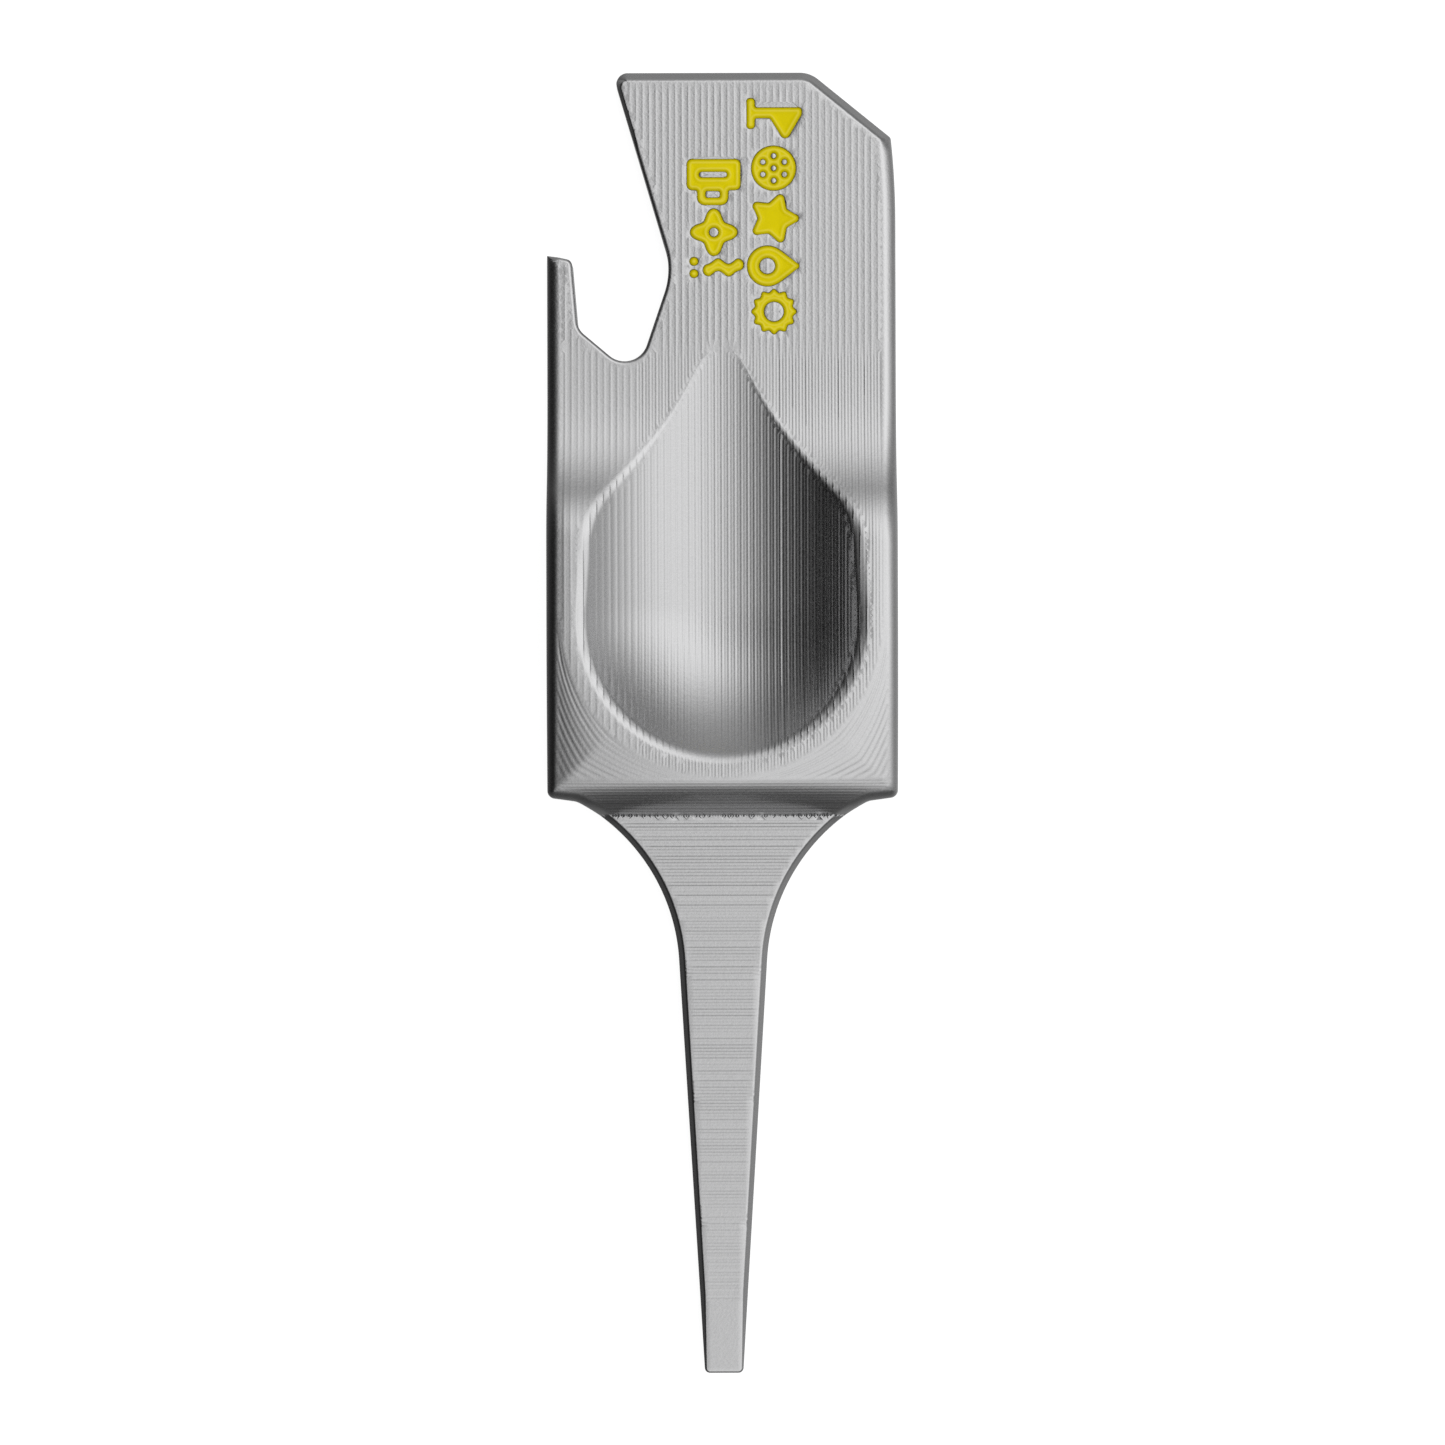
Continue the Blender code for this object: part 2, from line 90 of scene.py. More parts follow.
# Opener: down the fulcrum side, round the throat and up the inside of the hook.
FULCRUM = (-8.32, TOP_Y)
FULCRUM_ROUND = 0.85
OPENER_BULGE = (-3.78, 34.7)
OPENER_BULGE_ROUND = 5.7
BULGE_ARC_STEP = math.radians(2.0)
THROAT_CORNER = (-6.58, 26.47)
THROAT_ROUND = 1.8
THROAT_RISE = (-11.03, 30.22)
THROAT_RISE_ROUND = 1.5
HOOK_TIP_INNER = (-11.48, 35.5)
HOOK_TIP_ROUND = 0.5
HOOK_TIP_OUTER = (-HALF_WIDTH, 35.93)
HOOK_OUTER_ROUND = 0.06

# The opener's thin edge: the part of the outline that has it, how far from the top edge and the left
# side it begins, and how long it takes to thin down.
OPENER_EDGE_RIGHT_X = FULCRUM[0] + 4.6
OPENER_EDGE_LOW_Y = THROAT_CORNER[1] - 1.0
OPENER_EDGE_TOP_GAP = 0.5
OPENER_EDGE_TOP_FADE = 0.9
OPENER_EDGE_SIDE_GAP = 0.15
OPENER_EDGE_SIDE_FADE = 0.8

# Front surface, as heights above the flat back.
HEAD_THICKNESS = 3.2
RAMP_START_Y = 27.8
RAMP_LENGTH = 10.0
RAMP_CREST = 4.2
RAMP_SLOPE = 0.62
DISH_Y = 8.0
DISH_RADIUS = 14.1
DISH_LEAST_DROP = 1.0
DISH_FLOOR_SLOPE = 0.075
DISH_APEX_Y = 28.8
LIP_ROUND = 1.0
LIP_LEAST = 0.002
LIP_MOST = 0.75
PILLOW_RADIUS = 11.5
PILLOW_FALL = 0.22
STEP_FOOT_Y = -7.2
STEP_TOOTH = 0.2
STEP_TOOTH_REACH = 0.13
STEP_SLOPE = 2.5
STEP_ROUND = 4.0
PRONG_LAND_Y = -44.4
PRONG_LAND_THICKNESS = 2.5
BACK_CHAMFER = 0.25
POCKET_DEPTH = 0.7

# Front edge, from tip to head: the Y where each value holds, the edge's width there, and how much of
# it is a full round. The rest is a bevel with a rounded inner edge.
EDGE_Y = (TIP_Y, -44.0, -8.0, -6.5, 24.0, 44.0, 45.3, TOP_Y)
EDGE_WIDTH = (0.15, 0.45, 0.55, 0.7, 1.0, 1.05, 0.85, 0.85)
EDGE_ROUND_SHARE = (0.0, 0.0, 0.0, 1.0, 1.0, 1.0, 0.0, 0.0)
BEVEL_SLOPE = 1.9
BEVEL_SOFT_SHARE = 0.42
OPENER_EDGE_WIDTH = 0.3
POCKET_EDGE_ROUND = 0.06
POCKET_GAP = 0.02
POCKET_REACH = 0.3

# Milling lines, and where each kind is. A wide line is two fine ones.
FINE_LINE = 0.25
WIDE_LINE = 2 * FINE_LINE
LIP_GRIP = 0.3
CORNER_LINES_RADIUS = 12.3
CORNER_LINE_RATE = 5.8
STEP_LINES_TOP_Y = -4.3
STEP_LINE = 0.22
PRONG_WIDE_LINES_Y = -40.3
BROAD_PASSES_X = -6.6
STEEP_WALL_X = 1.8
STEEP_WALL_REACH = 3.0
LINE_FADE = 0.3
HEAD_LINE_FADE = 1.0

# How deep the wide and the fine lines are, as shares of the depths in the settings.
HEAD_WIDE, HEAD_FINE = 1.05, 0.3
BROAD_PASS_WIDE, BROAD_PASS_FINE = 1.6, 0.3
CLOSE_PASS_WIDE, CLOSE_PASS_FINE = 0.75, 1.9
STEEP_WALL_EXTRA_FINE = 0.9
RAMP_WIDE_SHARE = 0.5
LIP_WIDE_LOSS, LIP_FINE_LOSS = 0.6, 0.75
CORNER_WIDE = 1.6
STEP_FINE = 2.0
PRONG_TIP_WIDE = 0.6
PRONG_FINE = (0.4, 1.4)

# How much painted shade darkens the scores between the lines, as shares of the darkness in the settings.
HEAD_SCORE = 0.35
STEEP_WALL_SCORE = 2.0
STEP_SCORE = 1.0
PRONG_SCORE = (0.4, 1.6)

# Where the blast bit deeper, and where handling rubbed the edges and the lip smoother and a painted sheen
# lightens their colour. The edge's own width is 1.
HEAD_EXTRA_BLAST = 1.2
HEAD_BLAST_FADE = 3.0
RUBBED_AND_SHEEN_LIP = 0.7
RUBBED_AND_SHEEN_EDGE_MIDDLE = 0.8
RUBBED_AND_SHEEN_EDGE_REACH = 0.4

# Top of the enamel. The reach and the bead line are in bead widths.
ENAMEL_TOP_DROP = 0.01
ENAMEL_HOLLOW_REACH = 1.2
ENAMEL_BEAD_LINE = 0.4

# Spacing of the points that the surfaces are worked out at. Edge rings are shares of the edge's width,
# pocket rings shares of the pocket edge's round, and the enamel's spacings are in steps of its grid.
OUTLINE_SPACING = 0.3
POINTS_PER_LINE = 4
BESIDE_RIDGE = (-0.125, -0.03, 0.0, 0.03, 0.125, 0.25)
HEAD_ROWS = 0.7
DISH_ROWS = 0.45
LIP_ROWS = 0.09
HEAD_ROWS_GAP = 0.2
CORNER_REACH_STEP = 0.02
STEP_COLUMNS = 0.35
STEP_TOOTH_ROWS = 6
PRONG_COLUMNS = 0.55
PRONG_REACH = 9.0
PRONG_LAND_REACH = 2.0
PRONG_LAND_SPACING = 0.5
EDGE_RINGS = (0.015, 0.06, 0.13, 0.23, 0.35, 0.47, 0.58, 0.66, 0.74, 0.82, 0.91, 1.0)
EDGE_ROOM = 0.04
POCKET_RINGS = (0.12, 0.45, 1.0)
POCKET_ROOM = 0.03
RING_SLACK = 0.01
ENAMEL_GRID = 0.07
ENAMEL_GRID_ROOM = 1.5
ENAMEL_RINGS = (0.4, 0.9)
ENAMEL_RING_SPACING = 1.3
ENAMEL_RING_SLACK = 0.9
ARC_STEP = math.radians(5.0)

# Tolerances: lengths that count as nothing, and how near two points are when they are one.
TINY = 1e-6
WELD = 2e-4
TRIANGLE_WELD = 1e-5
CAD_WELD = 1e-3
CAD_FLAT = 1e-2
FRONT_SLACK = 1e-3

# Points measured at a time, which keeps the memory small.
NEAREST_BLOCK = 256

# Edges sharper than this are shown as edges.
METAL_SHARP_ANGLE = math.radians(32.0)
ENAMEL_SHARP_ANGLE = math.radians(50.0)


# Curves and outlines


def blended(a, b, share):
    """Goes from a to b while the share goes from 0 to 1."""
    return a + (b - a) * share


def arc(centre, radius, start, end, step=ARC_STEP):
    """Points on an arc between two angles, both ends included."""
    count = max(2, math.ceil(abs(end - start) / step) + 1)
    angles = np.linspace(start, end, count)
    return [(centre[0] + radius * math.cos(a), centre[1] + radius * math.sin(a)) for a in angles]


def rounded_corner(before, corner, after, radius, step=ARC_STEP):
    """Points of the arc that rounds one corner of an outline."""
    corner = Vector(corner)
    to_before = (Vector(before) - corner).normalized()
    to_after = (Vector(after) - corner).normalized()
    half = to_before.angle(to_after) / 2
    centre = corner + (to_before + to_after).normalized() * (radius / math.sin(half))
    first = corner + to_before * (radius / math.tan(half)) - centre
    last = corner + to_after * (radius / math.tan(half)) - centre
    start = math.atan2(first.y, first.x)
    turn = math.remainder(math.atan2(last.y, last.x) - start, math.tau)
    return arc(centre, radius, start, start + turn, step)


def right_edge():
    """The outline's right side, from the tip to the start of the top edge."""
    start_angle = math.pi - NECK_TAPER_ANGLE
    to_foot = Vector((math.cos(start_angle), math.sin(start_angle)))
    neck_foot = Vector(NECK_CENTRE) + NECK_RADIUS * to_foot
    rise = NECK_START[1] - NECK_CENTRE[1]
    neck_end_angle = math.atan2(rise - NECK_START_ROUND / 2, -math.sqrt(NECK_RADIUS**2 - rise**2))
    neck = arc(NECK_CENTRE, NECK_RADIUS, start_angle, neck_end_angle, NECK_ARC_STEP)
    handle_corner = (HALF_WIDTH, HANDLE_FOOT_Y)
    taper_rise = CHAMFER_SIDE[1] - SIDE_TAPER_Y
    taper = [(HALF_WIDTH - (HALF_WIDTH - CHAMFER_SIDE[0]) * share**2, SIDE_TAPER_Y + taper_rise * share)
             for share in np.linspace(0.0, SIDE_TAPER_REACH, SIDE_TAPER_POINTS)]
    points = rounded_corner((0, TIP_Y), (TIP_HALF_WIDTH, TIP_Y), neck_foot, TIP_CORNER)
    points += neck
    points += rounded_corner(neck[-1], NECK_START, handle_corner, NECK_START_ROUND)
    points += rounded_corner(NECK_START, handle_corner, taper[0], HANDLE_CORNER)
    points += taper
    points += rounded_corner(taper[-1], CHAMFER_SIDE, CHAMFER_TOP, CHAMFER_SIDE_ROUND)
    points += rounded_corner(CHAMFER_SIDE, CHAMFER_TOP, (0, TOP_Y), CHAMFER_TOP_ROUND)
    return points


def opener_edge():
    """The opener's working edge, from the top edge to the tool's left side."""
    side = (-HALF_WIDTH, 0.0)
    edge = rounded_corner((0, TOP_Y), FULCRUM, OPENER_BULGE, FULCRUM_ROUND)
    edge += rounded_corner(FULCRUM, OPENER_BULGE, THROAT_CORNER, OPENER_BULGE_ROUND, BULGE_ARC_STEP)
    edge += rounded_corner(OPENER_BULGE, THROAT_CORNER, THROAT_RISE, THROAT_ROUND)
    edge += rounded_corner(THROAT_CORNER, THROAT_RISE, HOOK_TIP_INNER, THROAT_RISE_ROUND)
    edge += rounded_corner(THROAT_RISE, HOOK_TIP_INNER, HOOK_TIP_OUTER, HOOK_TIP_ROUND)
    edge += rounded_corner(HOOK_TIP_INNER, HOOK_TIP_OUTER, side, HOOK_OUTER_ROUND)
    return edge


def densified(loop, spacing):
    """The closed loop with its long runs divided, so that no two points are further apart."""
    points = []
    for start, end in zip(loop, np.roll(loop, -1, axis=0)):
        count = max(1, math.ceil(math.dist(start, end) / spacing))
        points += [start + (end - start) * (step / count) for step in range(count)]
    return np.array(points)


def outline_loop():
    """The whole outline with the opener, counter-clockwise."""
    right = right_edge()
    left = [(-x, y) for x, y in right[::-1] if y <= 0]
    return densified(np.array(right + opener_edge() + left), OUTLINE_SPACING)


def inset(loop, distance):
    """The loop moved to its left by a distance, which may differ from point to point."""
    run = np.roll(loop, -1, axis=0) - loop
    run /= np.hypot(run[:, 0], run[:, 1])[:, None]
    left = np.stack([-run[:, 1], run[:, 0]], axis=1)
    mitre = left + np.roll(left, 1, axis=0)
    mitre /= (mitre**2).sum(axis=1)[:, None] / 2
    return loop + mitre * np.reshape(distance, (-1, 1))


def nearest(points, loops, values=None):
    """Each point's distance to the nearest edge of some loops, and the values that hold there."""
    if values is None:
        values = [np.zeros((len(loop), 1)) for loop in loops]
    start = np.vstack(loops)
    run = np.vstack([np.roll(loop, -1, axis=0) for loop in loops]) - start
    first = np.vstack(values)
    change = np.vstack([np.roll(value, -1, axis=0) for value in values]) - first
    length_sq = np.maximum((run**2).sum(axis=1), TINY**2)
    distance = np.empty(len(points))
    value = np.empty((len(points), first.shape[1]))
    for low in range(0, len(points), NEAREST_BLOCK):
        block = slice(low, low + NEAREST_BLOCK)
        offset = points[block, None, :] - start
        along = np.clip((offset * run).sum(axis=2) / length_sq, 0.0, 1.0)
        gap = np.hypot(*np.moveaxis(offset - along[:, :, None] * run, 2, 0))
        closest = gap.argmin(axis=1)
        row = np.arange(len(closest))
        distance[block] = gap[row, closest]
        value[block] = first[closest] + change[closest] * along[row, closest][:, None]
    return distance, value


def edge_profile(loop):
    """The front edge's width, which is least inside the opener, and round share at each outline point."""
    x, y = loop.T
    outer = np.interp(y, EDGE_Y, EDGE_WIDTH)
    in_opener = (x < OPENER_EDGE_RIGHT_X) & (y > OPENER_EDGE_LOW_Y)
    in_opener &= (x > -HALF_WIDTH + TINY) & (y <= TOP_Y - TINY)
    from_top = np.clip((TOP_Y - y - OPENER_EDGE_TOP_GAP) / OPENER_EDGE_TOP_FADE, 0, 1)
    from_side = np.clip((x + HALF_WIDTH - OPENER_EDGE_SIDE_GAP) / OPENER_EDGE_SIDE_FADE, 0, 1)
    inner = blended(outer, OPENER_EDGE_WIDTH, np.minimum(from_top, from_side))
    width = np.where(in_opener, inner, outer)
    return np.stack([width, np.interp(y, EDGE_Y, EDGE_ROUND_SHARE)], axis=1)


OUTLINE = outline_loop()
OUTLINE_EDGE = edge_profile(OUTLINE)


# The front surface


def smooth_step(value):
    """Eases from 0 to 1 while the value goes from 0 to 1."""
    share = np.clip(value, 0.0, 1.0)
    return share * share * (3 - 2 * share)


def soft_min(a, b, blend):
    """The lower of two heights, with the edge between them rounded off."""
    overlap = np.maximum(blend - np.abs(a - b), 0.0) / blend
    return np.minimum(a, b) - overlap**2 * blend / 4


def ramp_height(y):
    """Head plate, then a hollow ramp, then a rounded crest up to the handle's level."""
    run = RAMP_START_Y - y
    rise = np.clip(run / RAMP_LENGTH, 0.0, 1.0) ** 3 * RAMP_LENGTH / 3
    crest = np.clip(run - RAMP_LENGTH, 0.0, RAMP_CREST)
    return HEAD_THICKNESS + RAMP_SLOPE * (rise + crest - crest**2 / (2 * RAMP_CREST))


def around_dish(x, y):
    """How far a point is outside the dish's level ring, and inside the handle's edges."""
    outside = np.hypot(x, np.minimum(y - DISH_Y, 0.0)) - PILLOW_RADIUS
    inside = np.maximum(np.minimum(HALF_WIDTH - np.abs(x), y - HANDLE_FOOT_Y), 0.0)
    return outside, inside


def pillow_drop(x, y):
    """How far the handle's top falls away between the dish and the handle's edges."""
    outside, inside = around_dish(x, y)
    level = (ramp_height(y) - HEAD_THICKNESS) / (ramp_height(0) - HEAD_THICKNESS)
    drop = level * PILLOW_FALL * outside**2 / np.maximum(outside + inside, TINY)
    return np.where(outside > 0, drop, 0.0)


def dish_height(x, y):
    """A trough of round section that runs down from the head and ends in a ball, and its slopes."""
    tangent_y = DISH_Y + DISH_RADIUS * DISH_FLOOR_SLOPE
    trough_radius = math.sqrt(DISH_RADIUS**2 - (tangent_y - DISH_Y) ** 2)
    ball_z = HEAD_THICKNESS - DISH_FLOOR_SLOPE * (DISH_APEX_Y - tangent_y) + trough_radius
    trough_drop = np.sqrt(trough_radius**2 - x**2)
    ball_drop_sq = np.maximum(DISH_RADIUS**2 - x**2 - (y - DISH_Y) ** 2, DISH_LEAST_DROP**2)
    ball_drop = np.sqrt(ball_drop_sq)
    in_trough = y > tangent_y
    height = ball_z - np.where(in_trough, trough_drop - DISH_FLOOR_SLOPE * (y - tangent_y), ball_drop)
    across = x / np.where(in_trough, trough_drop, ball_drop)
    along = np.where(in_trough, DISH_FLOOR_SLOPE, (y - DISH_Y) / ball_drop)
    return height, across, along


def in_dish(x, y):
    """Where the dish lies below the ramp and the level that it leads up to."""
    return (dish_height(x, y)[0] < ramp_height(y)) & (y < DISH_APEX_Y)


def lip_blend(y, across, along):
    """How much of the height between ramp and dish the lip takes, for a lip of even radius."""
    run = RAMP_START_Y - y
    steepness = np.clip(run / RAMP_LENGTH, 0.0, 1.0) ** 2
    crest = np.clip(run - RAMP_LENGTH, 0.0, RAMP_CREST) / RAMP_CREST
    ramp_fall = RAMP_SLOPE * (steepness - crest)
    return np.minimum(LIP_LEAST + LIP_ROUND / 2 * (across**2 + (along + ramp_fall) ** 2), LIP_MOST)


def lip_nearness(x, y):
    """1 on the line where the ramp and the dish meet, falling to 0 where the lip ends."""
    dish, across, along = dish_height(x, y)
    gap = np.abs(ramp_height(y) - pillow_drop(x, y) - dish)
    return np.maximum(1 - gap / lip_blend(y, across, along), 0.0) * (y < DISH_APEX_Y)


def stepped_across(x, y):
    """X drawn towards the middle of its wide line on the lip, where each pass keeps its own height."""
    middle = (np.floor(x / WIDE_LINE) + 0.5) * WIDE_LINE
    return x + LIP_GRIP * smooth_step(lip_nearness(x, y)) * (middle - x)


def face_height(x, y):
    """The front surface before its outer edges are rounded."""
    x = stepped_across(x, y)
    top = ramp_height(y) - pillow_drop(x, y)
    dish, across, along = dish_height(x, y)
    dished = soft_min(top, dish, lip_blend(y, across, along))
    top = np.where(y < DISH_APEX_Y, dished, top)
    step = HEAD_THICKNESS + STEP_SLOPE * (y - STEP_FOOT_Y)
    stepped = np.where(step < top + STEP_ROUND, soft_min(top, step, STEP_ROUND), top)
    prong = np.interp(y, (PRONG_LAND_Y, STEP_FOOT_Y), (PRONG_LAND_THICKNESS, HEAD_THICKNESS))
    tooth = STEP_TOOTH_REACH * (x / STEP_TOOTH - np.floor(x / STEP_TOOTH))
    return np.where(y <= STEP_FOOT_Y + tooth, prong, stepped)


def pocket_distance(points, pockets):
    """How far each point is from the nearest pocket's edge; 1 mm stands for anything far off."""
    distance = np.ones(len(points))
    for loop in pockets:
        low, high = loop.min(axis=0) - POCKET_REACH, loop.max(axis=0) + POCKET_REACH
        beside = ((points > low) & (points < high)).all(axis=1)
        found, _ = nearest(points[beside], [loop])
        distance[beside] = np.minimum(distance[beside], found)
    return distance


def front_height(points, pockets):
    """The finished front surface, its distance to the outline and the edge's width there."""
    distance, profile = nearest(points, [OUTLINE], [OUTLINE_EDGE])
    width, round_share = profile.T
    short = np.maximum(width - distance, 0.0)
    soft = width * BEVEL_SOFT_SHARE
    bevel = BEVEL_SLOPE * np.where(short < soft, short**2 / (2 * soft), short - soft / 2)
    full_round = width - np.sqrt(width**2 - np.minimum(short, width) ** 2)
    drop = blended(bevel, full_round, round_share)
    short = np.maximum(POCKET_EDGE_ROUND - pocket_distance(points, pockets), 0.0)
    drop += POCKET_EDGE_ROUND - np.sqrt(POCKET_EDGE_ROUND**2 - short**2)
    return face_height(*points.T) - drop, distance, width


# Milling lines, as what each point of the front needs to know about them


def corner_phase(x, y):
    """Counts the lines that run round the handle's corners, outward from the dish."""
    outside, inside = around_dish(x, y)
    outside = np.maximum(outside, 0.0)
    return CORNER_LINE_RATE * outside / np.sqrt(np.maximum(outside + inside, TINY))


def steep_wall(x):
    """0 on the dish's floor, easing to 1 up its steeper right wall."""
    return smooth_step((x - STEEP_WALL_X) / STEEP_WALL_REACH)


def line_fields(x, y, distance, width):
    """Line count in fine lines, and shares of the wide and the fine lines' depths."""
    reach = np.hypot(x, np.minimum(y - DISH_Y, 0.0))
    in_corner = (reach > CORNER_LINES_RADIUS) & (y < DISH_Y) & (y > STEP_LINES_TOP_Y)
    on_prong = y < STEP_FOOT_Y
    on_step = ~on_prong & (y < STEP_LINES_TOP_Y)
    phase = x / FINE_LINE
    phase = np.where(in_corner, 2 * corner_phase(x, y), phase)
    phase = np.where(on_step, y / STEP_LINE, phase)
    phase = np.where(on_prong, y / FINE_LINE, phase)
    head = smooth_step((y - DISH_APEX_Y + HEAD_LINE_FADE) / HEAD_LINE_FADE)
    close = smooth_step((x - BROAD_PASSES_X) / LINE_FADE)
    on_lip = smooth_step(2 * lip_nearness(x, y))
    wide = blended(BROAD_PASS_WIDE, CLOSE_PASS_WIDE, close) * np.where(in_dish(x, y), 1.0, RAMP_WIDE_SHARE)
    fine = blended(BROAD_PASS_FINE, CLOSE_PASS_FINE, close) + STEEP_WALL_EXTRA_FINE * steep_wall(x)
    wide *= 1 - LIP_WIDE_LOSS * on_lip
    fine *= 1 - LIP_FINE_LOSS * on_lip
    wide = blended(wide, HEAD_WIDE, head)
    fine = blended(fine, HEAD_FINE, head)
    wide = np.where(in_corner, CORNER_WIDE, wide)
    fine = np.where(in_corner, 0.0, fine)
    wide = np.where(on_step, 0.0, wide)
    fine = np.where(on_step, STEP_FINE, fine)
    broad = smooth_step((PRONG_WIDE_LINES_Y - y) / LINE_FADE)
    wide = np.where(on_prong, PRONG_TIP_WIDE * broad, wide)
    fading = np.interp(y, (PRONG_LAND_Y, STEP_FOOT_Y), PRONG_FINE)
    fine = np.where(on_prong, fading * (1 - broad), fine)
    seams = [(distance - width) / LINE_FADE, np.abs(y - PRONG_LAND_Y) / LINE_FADE]
    seams += [np.abs(y - STEP_FOOT_Y) / LINE_FADE, np.abs(y - STEP_LINES_TOP_Y) / LINE_FADE]
    beside_dish = (y < DISH_Y) & (y > STEP_FOOT_Y)
    seams += [np.where(beside_dish, np.abs(reach - CORNER_LINES_RADIUS), 1.0) / LINE_FADE]
    fade = smooth_step(np.min(seams, axis=0)) * (y > PRONG_LAND_Y)
    return phase, wide * fade, fine * fade


def score_shade_shares(x, y):
    """Share of the full darkness of the painted shade in the thin scores between the cutter's passes."""
    on_prong = y < STEP_FOOT_Y - LINE_FADE
    on_step = (y > STEP_FOOT_Y) & (y < STEP_LINES_TOP_Y)
    dark = np.interp(y, (PRONG_LAND_Y, STEP_FOOT_Y), PRONG_SCORE) * (on_prong & (y > PRONG_LAND_Y))
    dark += STEP_SCORE * on_step
    dark += STEEP_WALL_SCORE * steep_wall(x) * ((y > STEP_LINES_TOP_Y) & in_dish(x, y))
    return dark + HEAD_SCORE * (y >= DISH_APEX_Y)


# Points that the front surface is worked out at


def rows_and_columns(xs, ys):
    """All points of a rectangular grid."""
    return np.stack(np.meshgrid(xs, ys), axis=-1).reshape(-1, 2)


def spread(low, high, step):
    """Values that are whole multiples of a step, from low to high."""
    return np.arange(math.ceil(low / step), math.floor(high / step) + 1) * step


def head_points():
    """Points across each wide line of the head plate, close together beside the ridges."""
    ridges = spread(-HALF_WIDTH, HALF_WIDTH, WIDE_LINE)
    columns = (ridges[:, None] + np.array(BESIDE_RIDGE)).ravel()
    return rows_and_columns(columns, spread(DISH_APEX_Y, TOP_Y, HEAD_ROWS))


def dish_points():
    """Four points to each fine line across the ramp and the dish, and close rows on the dish's lip."""
    columns = spread(-HALF_WIDTH, HALF_WIDTH, FINE_LINE / POINTS_PER_LINE)
    top_y = DISH_APEX_Y - HEAD_ROWS_GAP
    points = rows_and_columns(columns, spread(STEP_LINES_TOP_Y, top_y, DISH_ROWS))
    close_rows = rows_and_columns(columns, spread(STEP_LINES_TOP_Y, top_y, LIP_ROWS))
    points = np.vstack([points, close_rows[lip_nearness(*close_rows.T) > 0]])
    x, y = points.T
    return points[(y >= DISH_Y) | (np.hypot(x, y - DISH_Y) < CORNER_LINES_RADIUS)]


def corner_points():
    """Four points across each line that runs round a corner of the handle, a degree apart along it."""
    corner_reach = math.hypot(HALF_WIDTH, DISH_Y - HANDLE_FOOT_Y)
    reach = np.arange(CORNER_LINES_RADIUS, corner_reach, CORNER_REACH_STEP)
    points = []
    for angle in np.radians(np.arange(-179.0, 0.0, 1.0)):
        x, y = reach * math.cos(angle), DISH_Y + reach * math.sin(angle)
        held = (np.abs(x) < HALF_WIDTH) & (y > HANDLE_FOOT_Y)
        phase = corner_phase(x, y)[held]
        if len(phase) > 1:
            wanted = np.interp(spread(phase[0], phase[-1], 1 / POINTS_PER_LINE), phase, reach[held])
            points += [(r * math.cos(angle), DISH_Y + r * math.sin(angle)) for r in wanted]
    points = np.array(points)
    return points[points[:, 1] > STEP_LINES_TOP_Y]


def step_points():
    """Close rows down the step between the handle and the prong, closest at its toothed foot."""
    row_step = STEP_LINE / POINTS_PER_LINE
    rows = STEP_FOOT_Y + spread(row_step, STEP_LINES_TOP_Y - STEP_FOOT_Y, row_step)
    columns = spread(-HALF_WIDTH, HALF_WIDTH, STEP_COLUMNS)
    face = rows_and_columns(columns, rows[rows > STEP_FOOT_Y + STEP_TOOTH])
    foot_rows = STEP_FOOT_Y + np.arange(0.0, STEP_TOOTH, STEP_TOOTH / STEP_TOOTH_ROWS)
    foot_columns = spread(-HALF_WIDTH, HALF_WIDTH, STEP_TOOTH / POINTS_PER_LINE)
    return np.vstack([face, rows_and_columns(foot_columns, foot_rows)])


def prong_points():
    """Four points to each fine line along the prong."""
    row_step = FINE_LINE / POINTS_PER_LINE
    rows = spread(PRONG_LAND_Y, STEP_FOOT_Y - row_step / 2, row_step)
    lines = rows_and_columns(spread(-PRONG_REACH, PRONG_REACH, PRONG_COLUMNS), rows)
    land_columns = spread(-PRONG_LAND_REACH, PRONG_LAND_REACH, PRONG_LAND_SPACING)
    land = rows_and_columns(land_columns, spread(TIP_Y, PRONG_LAND_Y, PRONG_LAND_SPACING))
    return np.vstack([lines, land])


def edge_points():
    """Rings of points over the front edge, closest where it is steep."""
    rings = []
    for share in EDGE_RINGS:
        wanted = OUTLINE_EDGE[:, 0] * share
        ring = inset(OUTLINE, wanted)
        distance, _ = nearest(ring, [OUTLINE])
        rings.append(ring[np.abs(distance - wanted) < RING_SLACK])
    return np.vstack(rings)


def pocket_edge_points(pockets):
    """Rings of points over the broken edge round each pocket."""
    rings = []
    for share in POCKET_RINGS:
        rings += [inset(loop, -share * POCKET_EDGE_ROUND) for loop in pockets]
    return np.vstack(rings)


def front_points(pockets):
    """Every point of the front inside the outline, with room left beside its edges and the pockets."""
    grids = np.vstack([head_points(), dish_points(), corner_points(), step_points(), prong_points()])
    grids = grids[inside(grids, [OUTLINE])]
    distance, profile = nearest(grids, [OUTLINE], [OUTLINE_EDGE])
    grids = grids[distance > profile[:, 0] + EDGE_ROOM]
    grids = grids[pocket_distance(grids, pockets) > POCKET_EDGE_ROUND + POCKET_ROOM]
    return np.vstack([grids, edge_points(), pocket_edge_points(pockets)])


def inside(points, loops):
    """Which points lie inside the area that the loops enclose."""
    crossings = np.zeros(len(points), dtype=int)
    x, y = points.T
    for loop in loops:
        for (x0, y0), (x1, y1) in zip(loop, np.roll(loop, -1, axis=0)):
            if y0 != y1:
                spans = (y0 > y) != (y1 > y)
                crossings += spans & (x < x0 + (y - y0) * (x1 - x0) / (y1 - y0))
    return crossings % 2 == 1


# Meshes


